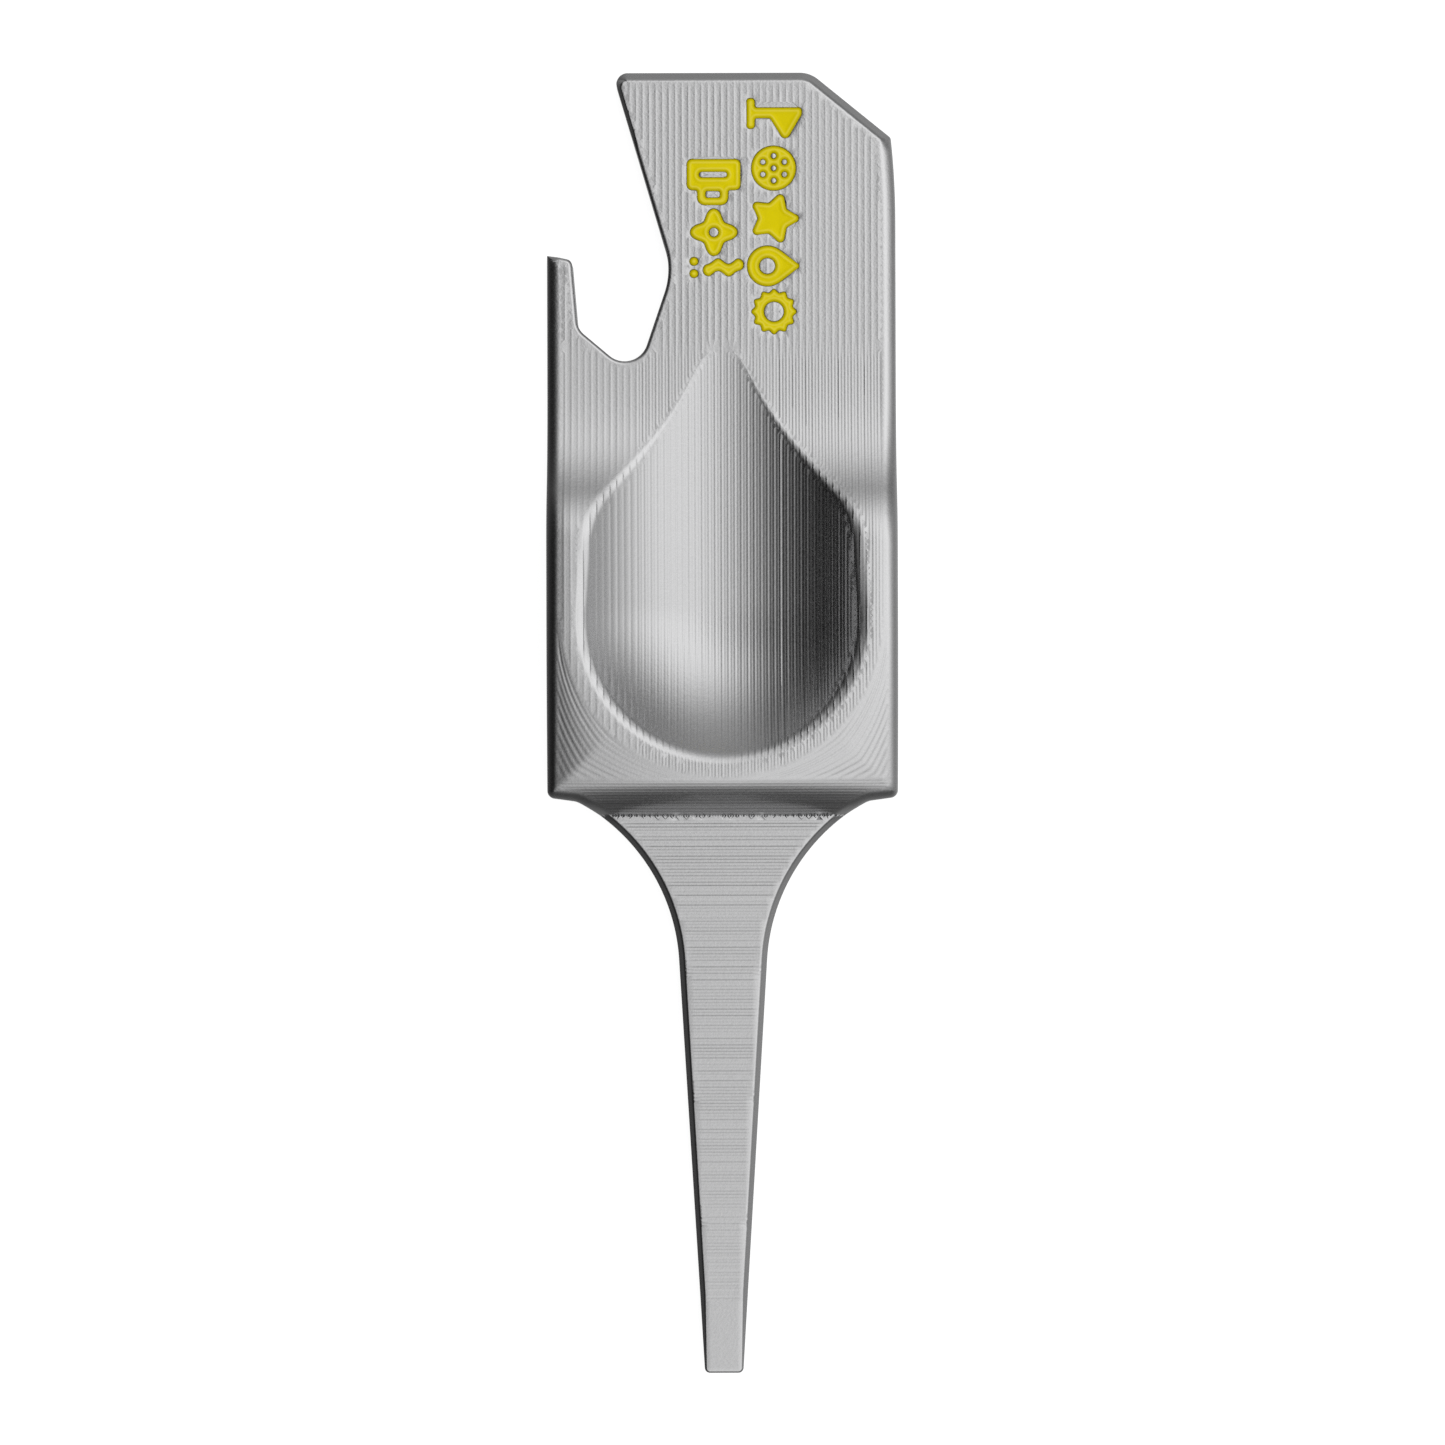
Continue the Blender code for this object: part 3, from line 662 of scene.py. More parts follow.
class Shell:
    """Collects the patches of one closed piece, in millimetres, and welds them."""

    def __init__(self):
        self.points = []
        self.faces = []
        self.count = 0

    def add(self, points, faces):
        """A patch of faces, counted from its own first point."""
        self.points.append(np.asarray(points, dtype=float))
        self.faces += (np.asarray(faces) + self.count).tolist()
        self.count += len(points)

    def strip(self, upper, lower):
        """A band between two closed loops of as many points, seen from the loops' right."""
        size = len(upper)
        at = np.arange(size)
        following = np.roll(at, -1)
        self.add(np.vstack([upper, lower]), np.stack([at, at + size, following + size, following], axis=1))

    def sheet(self, loops, points, height, down=False):
        """A surface over the area that the loops enclose, at a height worked out from x and y."""
        loose, faces = triangulated(loops, points)
        self.add(np.column_stack([loose, height(loose)]), faces[:, ::-1] if down else faces)

    def mesh(self, name):
        """The welded piece, in metres."""
        bm = bmesh.new()
        mesh = bpy.data.meshes.new(name)
        mesh.from_pydata(np.vstack(self.points) * MM, [], self.faces)
        bm.from_mesh(mesh)
        bmesh.ops.remove_doubles(bm, verts=bm.verts, dist=WELD * MM)
        bm.to_mesh(mesh)
        bm.free()
        mesh.validate()
        return mesh


def triangulated(loops, points):
    """Triangles over the area that the loops enclose, with the loose points among their corners."""
    plane = [Vector(point) for point in np.vstack([*loops, points] if len(points) else loops)]
    edges, start = [], 0
    for loop in loops:
        at = start + np.arange(len(loop))
        edges += np.stack([at, np.roll(at, -1)], axis=1).tolist()
        start += len(loop)
    made, _, faces, *_ = delaunay_2d_cdt(plane, edges, [], 0, TRIANGLE_WELD, False)
    made = np.array([tuple(point) for point in made])
    faces = np.array(faces)
    faces = faces[inside(made[faces].mean(axis=1), loops)]
    a, b, c = (made[faces[:, corner]] for corner in range(3))
    turn = (b[:, 0] - a[:, 0]) * (c[:, 1] - a[:, 1]) - (b[:, 1] - a[:, 1]) * (c[:, 0] - a[:, 0])
    faces[turn < 0] = faces[turn < 0][:, ::-1]
    return made, faces


def softened(loop):
    """The loop with a quarter of each run cut off its corners, which makes smooth curves of its arcs."""
    before = np.roll(loop, 1, axis=0) - loop
    after = np.roll(loop, -1, axis=0) - loop
    cut = np.minimum(np.hypot(*before.T), np.hypot(*after.T))[:, None] / 4
    first = loop + before / np.hypot(*before.T)[:, None] * cut
    second = loop + after / np.hypot(*after.T)[:, None] * cut
    return np.stack([first, second], axis=1).reshape(-1, 2)


def top_loops(node):
    """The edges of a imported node's flat top: outside counter-clockwise, holes clockwise."""
    bm = bmesh.new()
    bm.from_mesh(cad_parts[node].data)
    bmesh.ops.remove_doubles(bm, verts=bm.verts, dist=CAD_WELD * MM)
    top = max(vert.co.z for vert in bm.verts)
    flat = [face for face in bm.faces if all(vert.co.z > top - CAD_FLAT * MM for vert in face.verts)]
    pairs = {(loop.vert, loop.link_loop_next.vert) for face in flat for loop in face.loops}
    following = {a: b for a, b in pairs if (b, a) not in pairs}
    loops = []
    for start in sorted(following, key=lambda vert: vert.index):
        if start not in following:
            continue
        loop, vert = [], start
        while vert in following:
            loop.append(vert.co.xy / MM)
            vert = following.pop(vert)
        loops.append(softened(softened(np.array(loop))))
    bm.free()
    return loops


def finished(name, mesh, slot, *nodes):
    """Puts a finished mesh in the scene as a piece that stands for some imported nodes."""
    piece = bpy.data.objects.new(name, mesh)
    bpy.context.scene.collection.objects.link(piece)
    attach(piece, "root")
    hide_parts(*nodes)
    return piece


def store(mesh, name, values):
    """Keeps a number for each point of a mesh."""
    attribute = mesh.attributes.new(name, "FLOAT", "POINT")
    attribute.data.foreach_set("value", np.asarray(values, dtype=np.float32))


# Node trees


def add_node(tree, kind, links=(), **settings):
    """Adds a node, with its settings, and its inputs by name or place: a socket is linked, a value set."""
    node = tree.nodes.new(kind)
    for key, value in settings.items():
        setattr(node, key, value)
    for key, value in dict(links).items():
        if isinstance(value, bpy.types.NodeSocket):
            tree.links.new(value, node.inputs[key])
        else:
            node.inputs[key].default_value = value
    return node


def maths(tree, operation, a, b=0.0):
    """One sum on two numbers or sockets."""
    return add_node(tree, "ShaderNodeMath", {0: a, 1: b}, operation=operation).outputs[0]


def groove(tree, phase, lines, depth, share, unevenness, seed):
    """How far a point lies below the ridges of round-bottomed lines, each a little unlike the next."""
    count = maths(tree, "DIVIDE", phase, lines)
    links = {0: maths(tree, "FRACT", count), 1: 2.0, 2: -1.0}
    across = add_node(tree, "ShaderNodeMath", links, operation="MULTIPLY_ADD").outputs[0]
    bowl = maths(tree, "SUBTRACT", 1.0, maths(tree, "MULTIPLY", across, across))
    least = maths(tree, "SUBTRACT", 1.0, unevenness)
    most = maths(tree, "ADD", 1.0, unevenness)
    links = {2: least, 3: most, "ID": maths(tree, "FLOOR", count), "Seed": seed}
    chance = add_node(tree, "FunctionNodeRandomValue", links, data_type="FLOAT").outputs[1]
    cut = maths(tree, "MULTIPLY", maths(tree, "MULTIPLY", depth, share), chance)
    return maths(tree, "MULTIPLY", bowl, cut)


MILL_INPUTS = (
    ("Geometry", "Geometry"),
    ("Wide line depth", "Float"),
    ("Fine line depth", "Float"),
    ("Unevenness", "Float"),
    ("Seed", "Int"),
    ("Material", "Material"),
)


def mill_marks_tree():
    """A node tree that cuts the cutter's lines into the surface that it is given."""
    tree = bpy.data.node_groups.new("mill marks", "GeometryNodeTree")
    tree.interface.new_socket("Geometry", in_out="OUTPUT", socket_type="NodeSocketGeometry")
    for name, kind in MILL_INPUTS:
        tree.interface.new_socket(name, in_out="INPUT", socket_type=f"NodeSocket{kind}")
    given = tree.nodes.new("NodeGroupInput").outputs
    read = {}
    for name in ("line_phase", "wide_share", "fine_share"):
        links = {"Name": name}
        read[name] = add_node(tree, "GeometryNodeInputNamedAttribute", links, data_type="FLOAT").outputs[0]
    shared = (given["Unevenness"], given["Seed"])
    wide = groove(tree, read["line_phase"], 2.0, given["Wide line depth"], read["wide_share"], *shared)
    fine = groove(tree, read["line_phase"], 1.0, given["Fine line depth"], read["fine_share"], *shared)
    down = maths(tree, "MULTIPLY", maths(tree, "ADD", wide, fine), -1.0)
    offset = add_node(tree, "ShaderNodeCombineXYZ", {"Z": down}).outputs[0]
    moved = add_node(tree, "GeometryNodeSetPosition", {"Geometry": given["Geometry"], "Offset": offset})
    real = add_node(tree, "GeometryNodeRealizeInstances", {"Geometry": moved.outputs[0]})
    links = {"Geometry": real.outputs[0], "Material": given["Material"]}
    painted = add_node(tree, "GeometryNodeSetMaterial", links)
    add_node(tree, "NodeGroupOutput", {"Geometry": painted.outputs[0]})
    return tree


def with_tree(mesh, tree, **values):
    """The mesh that a node tree makes of this one."""
    holder = bpy.data.objects.new(mesh.name, mesh)
    bpy.context.scene.collection.objects.link(holder)
    modifier = holder.modifiers.new(tree.name, "NODES")
    modifier.node_group = tree
    for item in tree.interface.items_tree:
        if item.in_out == "INPUT" and item.name in values:
            modifier[item.identifier] = values[item.name]
    graph = bpy.context.evaluated_depsgraph_get()
    made = bpy.data.meshes.new_from_object(holder.evaluated_get(graph))
    bpy.data.objects.remove(holder, do_unlink=True)
    bpy.data.meshes.remove(mesh)
    return made


# Materials: how far their looks vary, as shares of colour or roughness. A noise's middle is the range
# that most of it lies in.

GRAIN_MIDDLE = (0.25, 0.75)
GRAIN_TONE = 0.05
GRAIN_ROUGHNESS = 0.04
COARSE_GRAIN_RATE = 0.35
COARSE_GRAIN_SHARE = 0.8
CLOUD_SIZE = 6.0 * MM
CLOUD_TONE = 0.012
# Painted sheen: how much lighter the colour is where the edges and the lip are rubbed.
PAINTED_SHEEN_TONE = 0.04
RUBBED_SHINE = 0.06
SCORE_SIDES = (0.04, 0.3)
ENAMEL_SPECULAR = 0.06
ENAMEL_CLOUD_SIZE = 1.6 * MM
ENAMEL_CLOUD_MIDDLE = (0.3, 0.7)
ENAMEL_CLOUD_TONE = (0.95, 1.03)
# How much paler the painted highlight along the enamel's bead is.
BEAD_PAINTED_HIGHLIGHT = 0.06
SPECK_SIZE = 0.12 * MM
SPECK_ROUGHNESS = 0.04
RIPPLE_SIZE = 0.35 * MM
RIPPLE_DEPTH = 0.004 * MM


def new_material(name, colour):
    """A material of one colour, with its node tree and its shader."""
    material = bpy.data.materials.new(name)
    material.use_nodes = True
    material.diffuse_color = colour
    tree = material.node_tree
    return material, tree, tree.nodes["Principled BSDF"]


def stored(tree, name):
    """A number that the mesh keeps for each of its points, as a material reads it."""
    return add_node(tree, "ShaderNodeAttribute", attribute_name=name).outputs["Fac"]


def noise(tree, scale, detail):
    """Fractal noise on the piece's own coordinates; scale counts features in a metre."""
    place = add_node(tree, "ShaderNodeTexCoord").outputs["Object"]
    links = {"Vector": place, "Scale": scale, "Detail": detail}
    return add_node(tree, "ShaderNodeTexNoise", links).outputs["Fac"]


def ranged(tree, value, low, high, from_low=0.0, from_high=1.0):
    """A value brought from one range to another."""
    links = {"Value": value, "From Min": from_low, "From Max": from_high, "To Min": low, "To Max": high}
    return add_node(tree, "ShaderNodeMapRange", links).outputs["Result"]


def roughened(tree, shader, height, depth):
    """Gives the shader a fine relief, as deep as the height's full range."""
    bump = add_node(tree, "ShaderNodeBump", {"Height": height, "Distance": depth, "Strength": 1.0})
    tree.links.new(bump.outputs[0], shader.inputs["Normal"])


def painted_score_shade(tree, darkness):
    """How much painted shade darkens the metal in a thin score between two passes of the cutter, each to
    its own degree.
    """
    phase = stored(tree, "line_phase")
    score = stored(tree, "score")
    line = maths(tree, "FLOOR", maths(tree, "ADD", phase, 0.5))
    chance = add_node(tree, "ShaderNodeTexWhiteNoise", {"W": line}, noise_dimensions="1D").outputs["Value"]
    away = maths(tree, "ABSOLUTE", maths(tree, "SUBTRACT", phase, line))
    core = ranged(tree, away, 1.0, 0.0, *SCORE_SIDES)
    dark = maths(tree, "MULTIPLY", maths(tree, "MULTIPLY", core, chance), score)
    return maths(tree, "MULTIPLY", dark, darkness)


def blasted_metal(settings):
    """Milled metal under a fine bead blast: a neutral satin grey, rubbed smoother on its edges and lip
    where a painted sheen lightens it, with painted shade in the thin scores.
    """
    colour = settings.metal_colour
    material, tree, shader = new_material("bead blasted metal", (*colour, 1.0))
    shader.inputs["Metallic"].default_value = 1.0
    rubbed_and_sheen = stored(tree, "rubbed_and_sheen")
    cloud = noise(tree, 1 / CLOUD_SIZE, 3.0)
    grain = noise(tree, 1 / settings.grain_size, 1.0)
    coarse = noise(tree, COARSE_GRAIN_RATE / settings.grain_size, 2.0)
    cloud_tone = ranged(tree, cloud, -CLOUD_TONE, CLOUD_TONE)
    # Painted sheen: the colour is lightened on the rubbed edges and lip.
    tone = maths(tree, "ADD", cloud_tone, ranged(tree, rubbed_and_sheen, 0.0, PAINTED_SHEEN_TONE))
    tone = maths(tree, "ADD", tone, ranged(tree, grain, -GRAIN_TONE, GRAIN_TONE, *GRAIN_MIDDLE))
    # Painted shade in the thin scores between the cutter's passes.
    tone = maths(tree, "SUBTRACT", tone, painted_score_shade(tree, settings.score_shade))
    links = {0: tuple(colour), "Scale": maths(tree, "ADD", tone, 1.0)}
    shade = add_node(tree, "ShaderNodeVectorMath", links, operation="SCALE").outputs[0]
    tree.links.new(shade, shader.inputs["Base Color"])
    rough = ranged(tree, grain, -GRAIN_ROUGHNESS, GRAIN_ROUGHNESS, *GRAIN_MIDDLE)
    rough = maths(tree, "ADD", rough, settings.blast_roughness)
    rough = maths(tree, "SUBTRACT", rough, ranged(tree, rubbed_and_sheen, 0.0, RUBBED_SHINE))
    tree.links.new(rough, shader.inputs["Roughness"])
    height = maths(tree, "ADD", grain, maths(tree, "MULTIPLY", coarse, COARSE_GRAIN_SHARE))
    height = maths(tree, "MULTIPLY", height, stored(tree, "blast"))
    roughened(tree, shader, height, settings.grain_depth)
    return material


def cured_enamel(settings):
    """Glossy yellow enamel with a faintly uneven skin, painted shade on its thin outer rim and a painted
    highlight along its bead.
    """
    colour = settings.enamel_colour
    material, tree, shader = new_material("cured yellow enamel", (*colour, 1.0))
    shader.inputs["Specular IOR Level"].default_value = ENAMEL_SPECULAR
    cloud = noise(tree, 1 / ENAMEL_CLOUD_SIZE, 2.0)
    # Painted shade: the enamel's colour darkens towards its thin, steep outer rim.
    rim = ranged(tree, stored(tree, "rim"), 1.0, 1 - settings.rim_painted_shade)
    factor = maths(tree, "MULTIPLY", ranged(tree, cloud, *ENAMEL_CLOUD_TONE, *ENAMEL_CLOUD_MIDDLE), rim)
    # Painted highlight: the colour is paler along the bead's crest.
    painted_highlight = tuple(part + BEAD_PAINTED_HIGHLIGHT for part in colour)
    links = {0: stored(tree, "bead"), 6: (*colour, 1.0), 7: (*painted_highlight, 1.0)}
    shade = add_node(tree, "ShaderNodeMix", links, data_type="RGBA").outputs[2]
    scaled = add_node(tree, "ShaderNodeVectorMath", {0: shade, "Scale": factor}, operation="SCALE")
    tree.links.new(scaled.outputs[0], shader.inputs["Base Color"])
    speck = noise(tree, 1 / SPECK_SIZE, 1.0)
    dullest = settings.enamel_roughness + SPECK_ROUGHNESS
    rough = ranged(tree, speck, settings.enamel_roughness - SPECK_ROUGHNESS, dullest)
    tree.links.new(rough, shader.inputs["Roughness"])
    roughened(tree, shader, noise(tree, 1 / RIPPLE_SIZE, 1.0), RIPPLE_DEPTH)
    return material


# Settings

LENGTH = {"precision": 6, "subtype": "DISTANCE", "unit": "LENGTH"}
SHARE = {"min": 0.0, "max": 1.0, "subtype": "FACTOR"}
COLOUR = {"size": 3, "min": 0.0, "max": 1.0, "subtype": "COLOR"}


class DivotToolBodySettings(bpy.types.PropertyGroup):
    """What can be changed on the milled body."""

    wide_line_depth: bpy.props.FloatProperty(
        name="Wide line depth",
        description="Depth of the 0.5 mm lines that the cutter left",
        default=0.016 * MM,
        **LENGTH,
    )
    fine_line_depth: bpy.props.FloatProperty(
        name="Fine line depth",
        description="Depth of the 0.25 mm lines that the cutter left",
        default=0.007 * MM,
        **LENGTH,
    )
    unevenness: bpy.props.FloatProperty(
        name="Unevenness",
        description="How unlike each other the lines are",
        default=0.25,
        **SHARE,
    )
    seed: bpy.props.IntProperty(
        name="Seed",
        description="Which uneven lines are drawn",
        default=4,
    )
    metal_colour: bpy.props.FloatVectorProperty(
        name="Metal colour",
        description="Colour of the bare metal",
        default=(0.6, 0.6, 0.605),
        **COLOUR,
    )
    # Painted shade in the thin scores between the lines.
    score_shade: bpy.props.FloatProperty(
        name="Score darkness",
        description="How dark the thin scores between two lines are",
        default=0.35,
        **SHARE,
    )
    blast_roughness: bpy.props.FloatProperty(
        name="Blast roughness",
        description="How much the bead blast dulls the metal",
        default=0.27,
        **SHARE,
    )
    grain_size: bpy.props.FloatProperty(
        name="Grain size",
        description="Size of the dents that the blast left",
        default=0.17 * MM,
        **LENGTH,
    )
    grain_depth: bpy.props.FloatProperty(
        name="Grain depth",
        description="Depth of the dents that the blast left",
        default=0.006 * MM,
        **LENGTH,
    )


class DivotToolEnamelSettings(bpy.types.PropertyGroup):
    """What can be changed on the enamel."""

    enamel_colour: bpy.props.FloatVectorProperty(
        name="Enamel colour",
        description="Colour of the enamel in the motifs",
        default=(0.79, 0.66, 0.0),
        **COLOUR,
    )
    enamel_roughness: bpy.props.FloatProperty(
        name="Enamel roughness",
        description="How dull the enamel's skin is",
        default=0.3,
        **SHARE,
    )
    bead_width: bpy.props.FloatProperty(
        name="Bead width",
        description="How far inside its edge the enamel's bead is highest",
        default=0.26 * MM,
        **LENGTH,
    )
    bead_fall: bpy.props.FloatProperty(
        name="Bead fall",
        description="How far the bead falls away to its edge",
        default=0.1 * MM,
        **LENGTH,
    )
    # Painted shade on the enamel's steep outer rim.
    rim_painted_shade: bpy.props.FloatProperty(
        name="Rim shade",
        description="How much darker the thin outer rim of the enamel is",
        default=0.3,
        **SHARE,
    )
    hollow: bpy.props.FloatProperty(
        name="Hollow",
        description="How far the middle of the enamel sinks below its bead",
        default=0.06 * MM,
        **LENGTH,
    )


class DivotToolStageSettings(bpy.types.PropertyGroup):
    """What can be changed on the floor, the light and the camera."""

    camera_height: bpy.props.FloatProperty(
        name="Camera height",
        description="Camera's height over the head plate",
        default=0.33,
        subtype="DISTANCE",
        unit="LENGTH",
    )
    view_width: bpy.props.FloatProperty(
        name="View width",
        description="Width of what the camera sees at the head plate",
        default=0.1108,
        subtype="DISTANCE",
        unit="LENGTH",
    )
    camera_roll: bpy.props.FloatProperty(
        name="Camera roll",
        description="How far the camera is turned about its view, clockwise",
        default=math.radians(0.155),
        subtype="ANGLE",
        unit="ROTATION",
    )
    floor_colour: bpy.props.FloatVectorProperty(
        name="Floor colour",
        description="Colour of the floor",
        default=(0.3, 0.3, 0.3),
        **COLOUR,
    )
    floor_glow: bpy.props.FloatProperty(
        name="Floor glow",
        description="How far the light table under the tool hides its shadow",
        default=0.88,
        min=0.0,
    )
    fill_power: bpy.props.FloatProperty(
        name="Fill power",
        description="Power of the overhead fill light",
        default=1.0,
        min=0.0,
        subtype="POWER",
        unit="POWER",
    )


# Operators


class DIVOT_OT_make_body(bpy.types.Operator):
    """Makes the milled body: prong, handle with its thumb dish, head plate and opener"""

    bl_idname = "divot.make_body"
    bl_label = "Make Body"

    def execute(self, context):
        settings = context.scene.divot_tool_body
        pockets = [inset(loop, -POCKET_GAP) for node in ENAMEL_NODES for loop in top_loops(node)]

        def front(points):
            return front_height(points, pockets)[0]

        shell = Shell()
        shell.sheet([OUTLINE, *pockets], front_points(pockets), front)
        upper = np.column_stack([OUTLINE, front(OUTLINE)])
        lower = np.column_stack([OUTLINE, np.full(len(OUTLINE), BACK_CHAMFER)])
        back_loop = inset(OUTLINE, BACK_CHAMFER)
        back = np.column_stack([back_loop, np.zeros(len(back_loop))])
        shell.strip(upper, lower)
        shell.strip(lower, back)
        shell.sheet([back_loop], [], lambda points: np.zeros(len(points)), down=True)
        floor = HEAD_THICKNESS - POCKET_DEPTH
        for loop in pockets:
            rim = np.column_stack([loop, front(loop)])[::-1]
            foot = np.column_stack([loop, np.full(len(loop), floor)])[::-1]
            shell.strip(rim, foot)
        shell.sheet(pockets, [], lambda points: np.full(len(points), floor))
        mesh = shell.mesh("milled_body")
        self.mark(mesh, pockets)
        values = {
            "Wide line depth": settings.wide_line_depth,
            "Fine line depth": settings.fine_line_depth,
            "Unevenness": settings.unevenness,
            "Seed": settings.seed,
            "Material": blasted_metal(settings),
        }
        mesh = with_tree(mesh, mill_marks_tree(), **values)
        mesh.shade_smooth()
        mesh.set_sharp_from_angle(angle=METAL_SHARP_ANGLE)
        finished("milled_body", mesh, "milled_steel", BODY_NODE)
        return {"FINISHED"}

    def mark(self, mesh, pockets):
        """Stores what the mill lines and the metal need to know at each point."""
        place = np.empty(len(mesh.vertices) * 3)
        mesh.vertices.foreach_get("co", place)
        x, y, z = place.reshape(-1, 3).T / MM
        height, distance, width = front_height(np.stack([x, y], axis=1), pockets)
        on_front = np.abs(z - height) < FRONT_SLACK
        phase, wide, fine = line_fields(x, y, distance, width)
        store(mesh, "line_phase", phase)
        store(mesh, "blast", 1.0 + HEAD_EXTRA_BLAST * smooth_step((y - RAMP_START_Y) / HEAD_BLAST_FADE))
        # Painted shade in the thin scores, kept off the edges and the back.
        store(mesh, "score", score_shade_shares(x, y) * smooth_step((distance - width) / LINE_FADE) * on_front)
        store(mesh, "wide_share", wide * on_front)
        store(mesh, "fine_share", fine * on_front)
        # Marks the lip and the edges' shoulders: rubbed smoother by handling, and lightened there by a
        # painted sheen.
        on_lip = smooth_step(lip_nearness(x, y)) * (y > STEP_FOOT_Y)
        from_edge = np.abs(distance - width * RUBBED_AND_SHEEN_EDGE_MIDDLE) / (width * RUBBED_AND_SHEEN_EDGE_REACH)
        store(mesh, "rubbed_and_sheen", np.maximum(on_lip * RUBBED_AND_SHEEN_LIP, 1 - smooth_step(from_edge)) * on_front)


class DIVOT_OT_make_enamel(bpy.types.Operator):
    """Makes the enamel in every pocket of the head, with a bead round a slightly hollow middle"""

    bl_idname = "divot.make_enamel"
    bl_label = "Make Enamel"

    def execute(self, context):
        settings = context.scene.divot_tool_enamel
        material = cured_enamel(settings)
        for node in ENAMEL_NODES:
            loops = top_loops(node)
            mesh = self.filled(loops, settings, node.replace("fill", "enamel"))
            mesh.materials.append(material)
            mesh.shade_smooth()
            mesh.set_sharp_from_angle(angle=ENAMEL_SHARP_ANGLE)
            finished(mesh.name, mesh, "yellow_enamel", node)
        return {"FINISHED"}

    def filled(self, loops, settings, name):
        """The closed mesh of one fill, whose height follows the distance to its edges."""
        bead, fall, hollow = settings.bead_width / MM, settings.bead_fall / MM, settings.hollow / MM

        def height(points):
            distance, _ = nearest(points, loops)
            outer_side = fall * np.maximum(1 - distance / bead, 0.0) ** 2
            inner_side = hollow * smooth_step((distance / bead - 1) / ENAMEL_HOLLOW_REACH)
            return HEAD_THICKNESS - ENAMEL_TOP_DROP - outer_side - inner_side

        outer = np.vstack(loops)
        low, high = outer.min(axis=0), outer.max(axis=0)
        grid = rows_and_columns(spread(low[0], high[0], ENAMEL_GRID), spread(low[1], high[1], ENAMEL_GRID))
        grid = grid[inside(grid, loops)]
        distance, _ = nearest(grid, loops)
        grid = grid[distance > ENAMEL_GRID * ENAMEL_GRID_ROOM]
        rings = []
        for step in ENAMEL_RINGS:
            for loop in loops:
                ring = inset(densified(loop, ENAMEL_GRID * ENAMEL_RING_SPACING), ENAMEL_GRID * step)
                gap, _ = nearest(ring, loops)
                rings.append(ring[(gap > ENAMEL_GRID * step * ENAMEL_RING_SLACK) & inside(ring, loops)])
        shell = Shell()
        shell.sheet(loops, np.vstack([grid, *rings]), height)
        floor = HEAD_THICKNESS - POCKET_DEPTH + POCKET_GAP
        for loop in loops:
            rim = np.column_stack([loop, height(loop)])
            shell.strip(rim, np.column_stack([loop, np.full(len(loop), floor)]))
        shell.sheet(loops, [], lambda points: np.full(len(points), floor), down=True)
        mesh = shell.mesh(name)
        place = np.empty(len(mesh.vertices) * 3)
        mesh.vertices.foreach_get("co", place)
        distance, _ = nearest(place.reshape(-1, 3)[:, :2] / MM, loops)
        # Where the painted shade on the enamel's outer rim falls.
        store(mesh, "rim", 1 - smooth_step(distance / bead))
        # Where the painted highlight along the bead's crest lies.
        store(mesh, "bead", 1 - smooth_step(np.abs(distance / bead - 1) / ENAMEL_BEAD_LINE))
        return mesh


# Soft lights of the studio: direction (toward +X, toward +Y, up), narrowness and strength.
LIGHTS = (
    ("right", (0.53, 0.0, 0.85), 8.0, 0.71),
    ("low right", (0.88, 0.0, 0.47), 8.0, 0.45),
    ("right horizon", (1.0, 0.0, 0.0), 8.0, 0.09),
    ("top", (0.13, 0.53, 0.84), 8.0, 0.9),
    ("top right", (0.48, 0.48, 0.73), 8.0, 0.16),
    ("low top", (0.0, 0.88, 0.47), 8.0, 0.05),
    ("top horizon", (0.0, 1.0, 0.0), 6.0, 0.27),
    ("foot", (0.0, -0.47, 0.88), 8.0, 0.8),
    ("low foot", (0.0, -0.85, 0.53), 8.0, 0.24),
    ("right bounce", (0.5, 0.0, -0.87), 2.5, 0.40),
    ("top bounce", (0.0, 0.5, -0.87), 2.5, 0.11),
)
FLOOR_GAP = 0.02 * MM
FLOOR_HALF_WIDTH = 3.0
FILL_PLACE = (0.1, 0.05, 0.6)
FILL_SIZE = 0.5
SENSOR_WIDTH = 36.0
CLIP_NEAR, CLIP_FAR = 0.01, 10.0


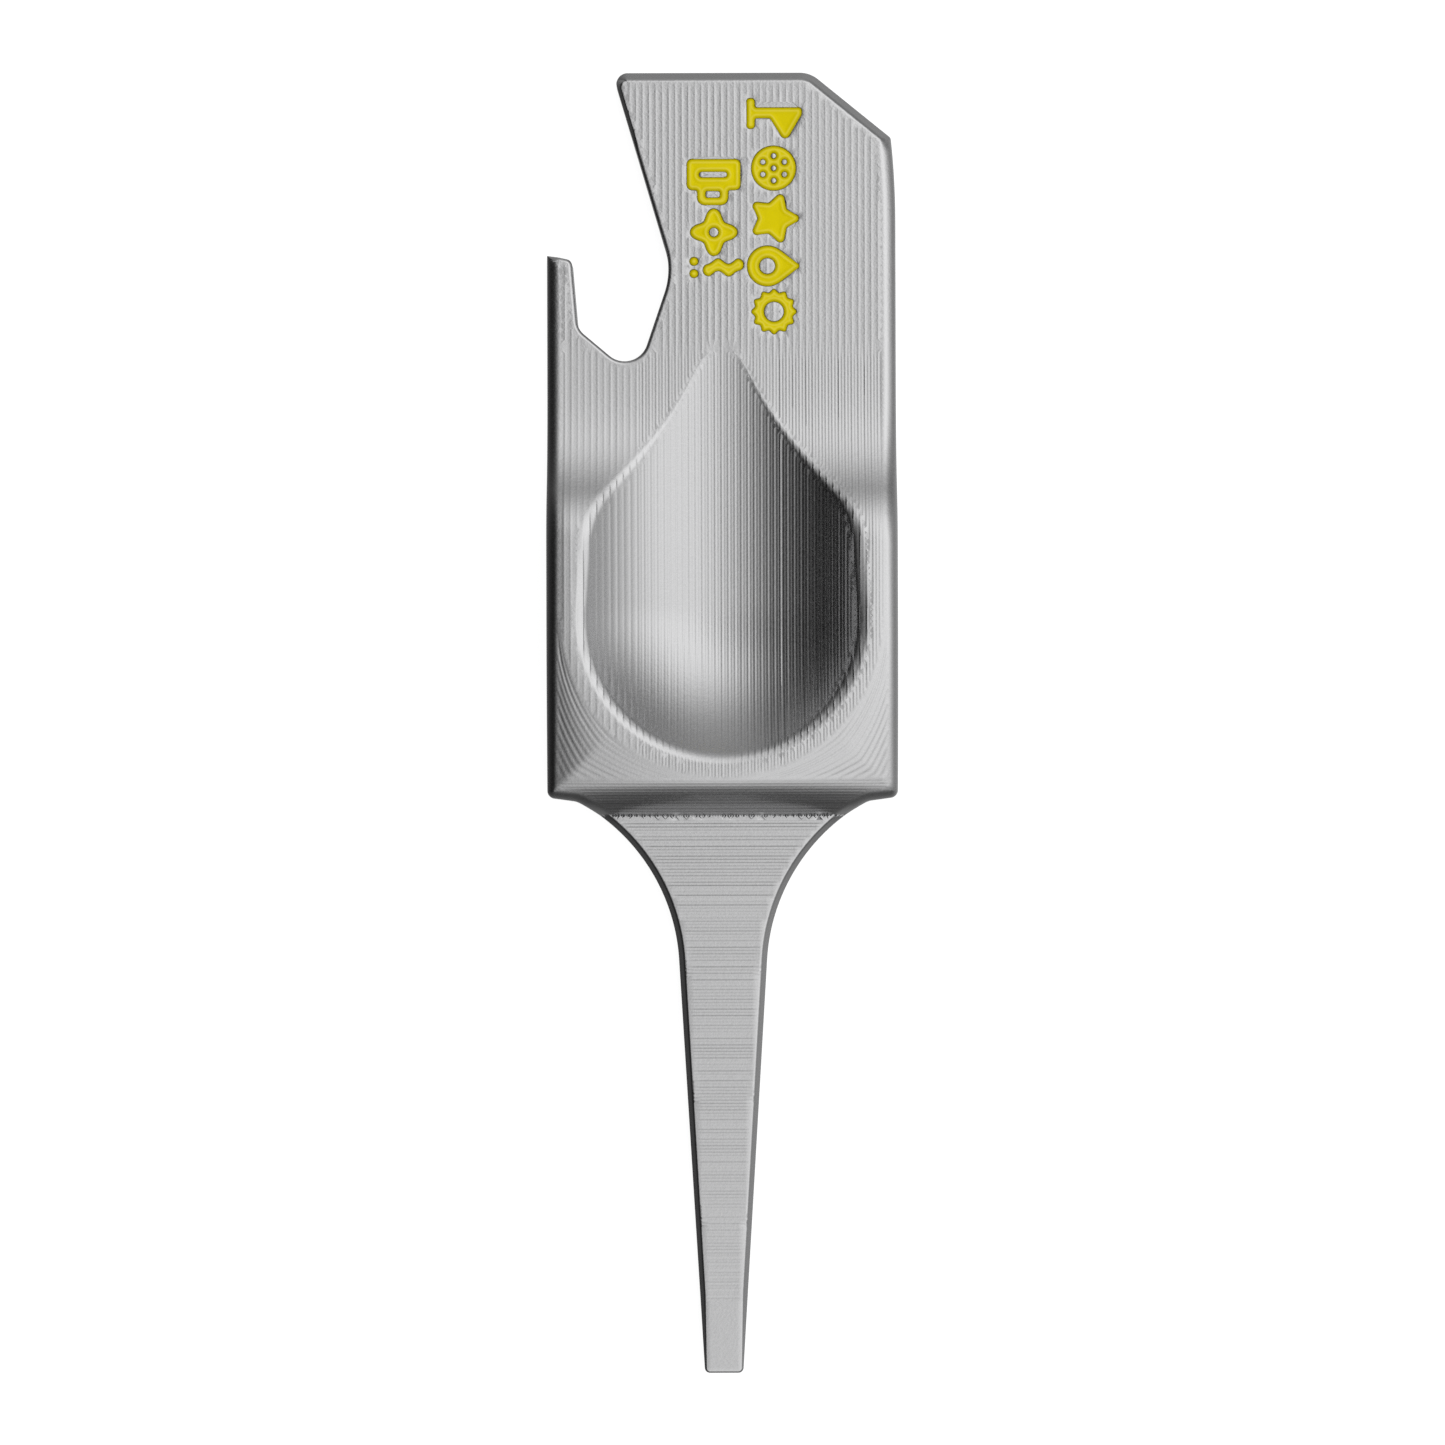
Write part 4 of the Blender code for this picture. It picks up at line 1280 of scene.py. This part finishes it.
class DIVOT_OT_make_stage(bpy.types.Operator):
    """Makes the pale floor, the soft studio light and the camera"""

    bl_idname = "divot.make_stage"
    bl_label = "Make Stage"

    def execute(self, context):
        settings = context.scene.divot_tool_stage
        self.floor(settings)
        self.studio_light(context.scene)
        self.fill_light(settings)
        self.camera(context.scene, settings)
        context.scene.view_settings.view_transform = "Standard"
        return {"FINISHED"}

    def floor(self, settings):
        """A wide pale sheet just under the tool, lit a little from below."""
        bm = bmesh.new()
        below = Matrix.Translation((0.0, 0.0, -FLOOR_GAP))
        bmesh.ops.create_grid(bm, x_segments=1, y_segments=1, size=FLOOR_HALF_WIDTH, matrix=below)
        mesh = bpy.data.meshes.new("floor")
        bm.to_mesh(mesh)
        bm.free()
        material, _, shader = new_material("pale floor", (*settings.floor_colour, 1.0))
        shader.inputs["Base Color"].default_value = (*settings.floor_colour, 1.0)
        shader.inputs["Roughness"].default_value = 1.0
        shader.inputs["Specular IOR Level"].default_value = 0.0
        shader.inputs["Emission Color"].default_value = (1.0, 1.0, 1.0, 1.0)
        shader.inputs["Emission Strength"].default_value = settings.floor_glow
        mesh.materials.append(material)
        floor = bpy.data.objects.new("floor", mesh)
        floor.visible_glossy = False
        bpy.context.scene.collection.objects.link(floor)

    def studio_light(self, scene):
        """Soft lights all round, as lobes of brightness on the sky; the camera sees a plain pale one."""
        world = bpy.data.worlds.new("studio")
        world.use_nodes = True
        scene.world = world
        tree = world.node_tree
        sight = add_node(tree, "ShaderNodeTexCoord").outputs["Generated"]
        total = 0.0
        for name, direction, narrowness, strength in LIGHTS:
            axis = tuple(Vector(direction).normalized())
            facing = add_node(tree, "ShaderNodeVectorMath", {0: sight, 1: axis}, operation="DOT_PRODUCT")
            facing.label = name
            away = maths(tree, "SUBTRACT", facing.outputs["Value"], 1.0)
            glow = maths(tree, "EXPONENT", maths(tree, "MULTIPLY", away, narrowness))
            total = maths(tree, "ADD", total, maths(tree, "MULTIPLY", glow, strength))
        seen = add_node(tree, "ShaderNodeLightPath").outputs["Is Camera Ray"]
        shown = add_node(tree, "ShaderNodeMix", {0: seen, 2: total, 3: 1.0}, data_type="FLOAT").outputs[0]
        tree.links.new(shown, tree.nodes["Background"].inputs["Strength"])
        tree.nodes["Background"].inputs["Color"].default_value = (1.0, 1.0, 1.0, 1.0)

    def fill_light(self, settings):
        """An overhead light that shows in no reflection."""
        data = bpy.data.lights.new("fill", "AREA")
        data.shape = "DISK"
        data.size = FILL_SIZE
        data.energy = settings.fill_power
        light = bpy.data.objects.new("fill", data)
        light.location = FILL_PLACE
        light.rotation_euler = Vector(light.location).to_track_quat("Z", "Y").to_euler()
        light.visible_glossy = False
        light.visible_camera = False
        bpy.context.scene.collection.objects.link(light)

    def camera(self, scene, settings):
        """A camera that looks straight down at the middle of the tool."""
        data = bpy.data.cameras.new("camera")
        data.sensor_width = SENSOR_WIDTH
        data.lens = data.sensor_width * settings.camera_height / settings.view_width
        data.clip_start = CLIP_NEAR
        data.clip_end = CLIP_FAR
        camera = bpy.data.objects.new("camera", data)
        camera.location = (0.0, 0.0, HEAD_THICKNESS * MM + settings.camera_height)
        camera.rotation_euler = (0.0, 0.0, -settings.camera_roll)
        scene.collection.objects.link(camera)
        scene.camera = camera


class DIVOT_PT_panel(bpy.types.Panel):
    """Lists the tool's settings and the operators that build it"""

    bl_idname = "DIVOT_PT_panel"
    bl_label = "Divot Tool"
    bl_space_type = "VIEW_3D"
    bl_region_type = "UI"
    bl_category = "Divot Tool"

    def draw(self, context):
        layout = self.layout
        for group, operator in STEPS:
            box = layout.box()
            for name in getattr(context.scene, group).__annotations__:
                box.prop(getattr(context.scene, group), name)
            box.operator(operator)


STEPS = (
    ("divot_tool_body", "divot.make_body"),
    ("divot_tool_enamel", "divot.make_enamel"),
    ("divot_tool_stage", "divot.make_stage"),
)
SETTINGS = {
    "divot_tool_body": DivotToolBodySettings,
    "divot_tool_enamel": DivotToolEnamelSettings,
    "divot_tool_stage": DivotToolStageSettings,
}
OPERATORS = (DIVOT_OT_make_body, DIVOT_OT_make_enamel, DIVOT_OT_make_stage)
CLASSES = (*SETTINGS.values(), *OPERATORS, DIVOT_PT_panel)


def register():
    for cls in CLASSES:
        bpy.utils.register_class(cls)
    for name, group in SETTINGS.items():
        setattr(bpy.types.Scene, name, bpy.props.PointerProperty(type=group))


def unregister():
    for name in SETTINGS:
        delattr(bpy.types.Scene, name)
    for cls in reversed(CLASSES):
        bpy.utils.unregister_class(cls)


def main():
    register()
    bpy.ops.divot.make_body()
    bpy.ops.divot.make_enamel()
    bpy.ops.divot.make_stage()


if __name__ == "__main__":
    main()
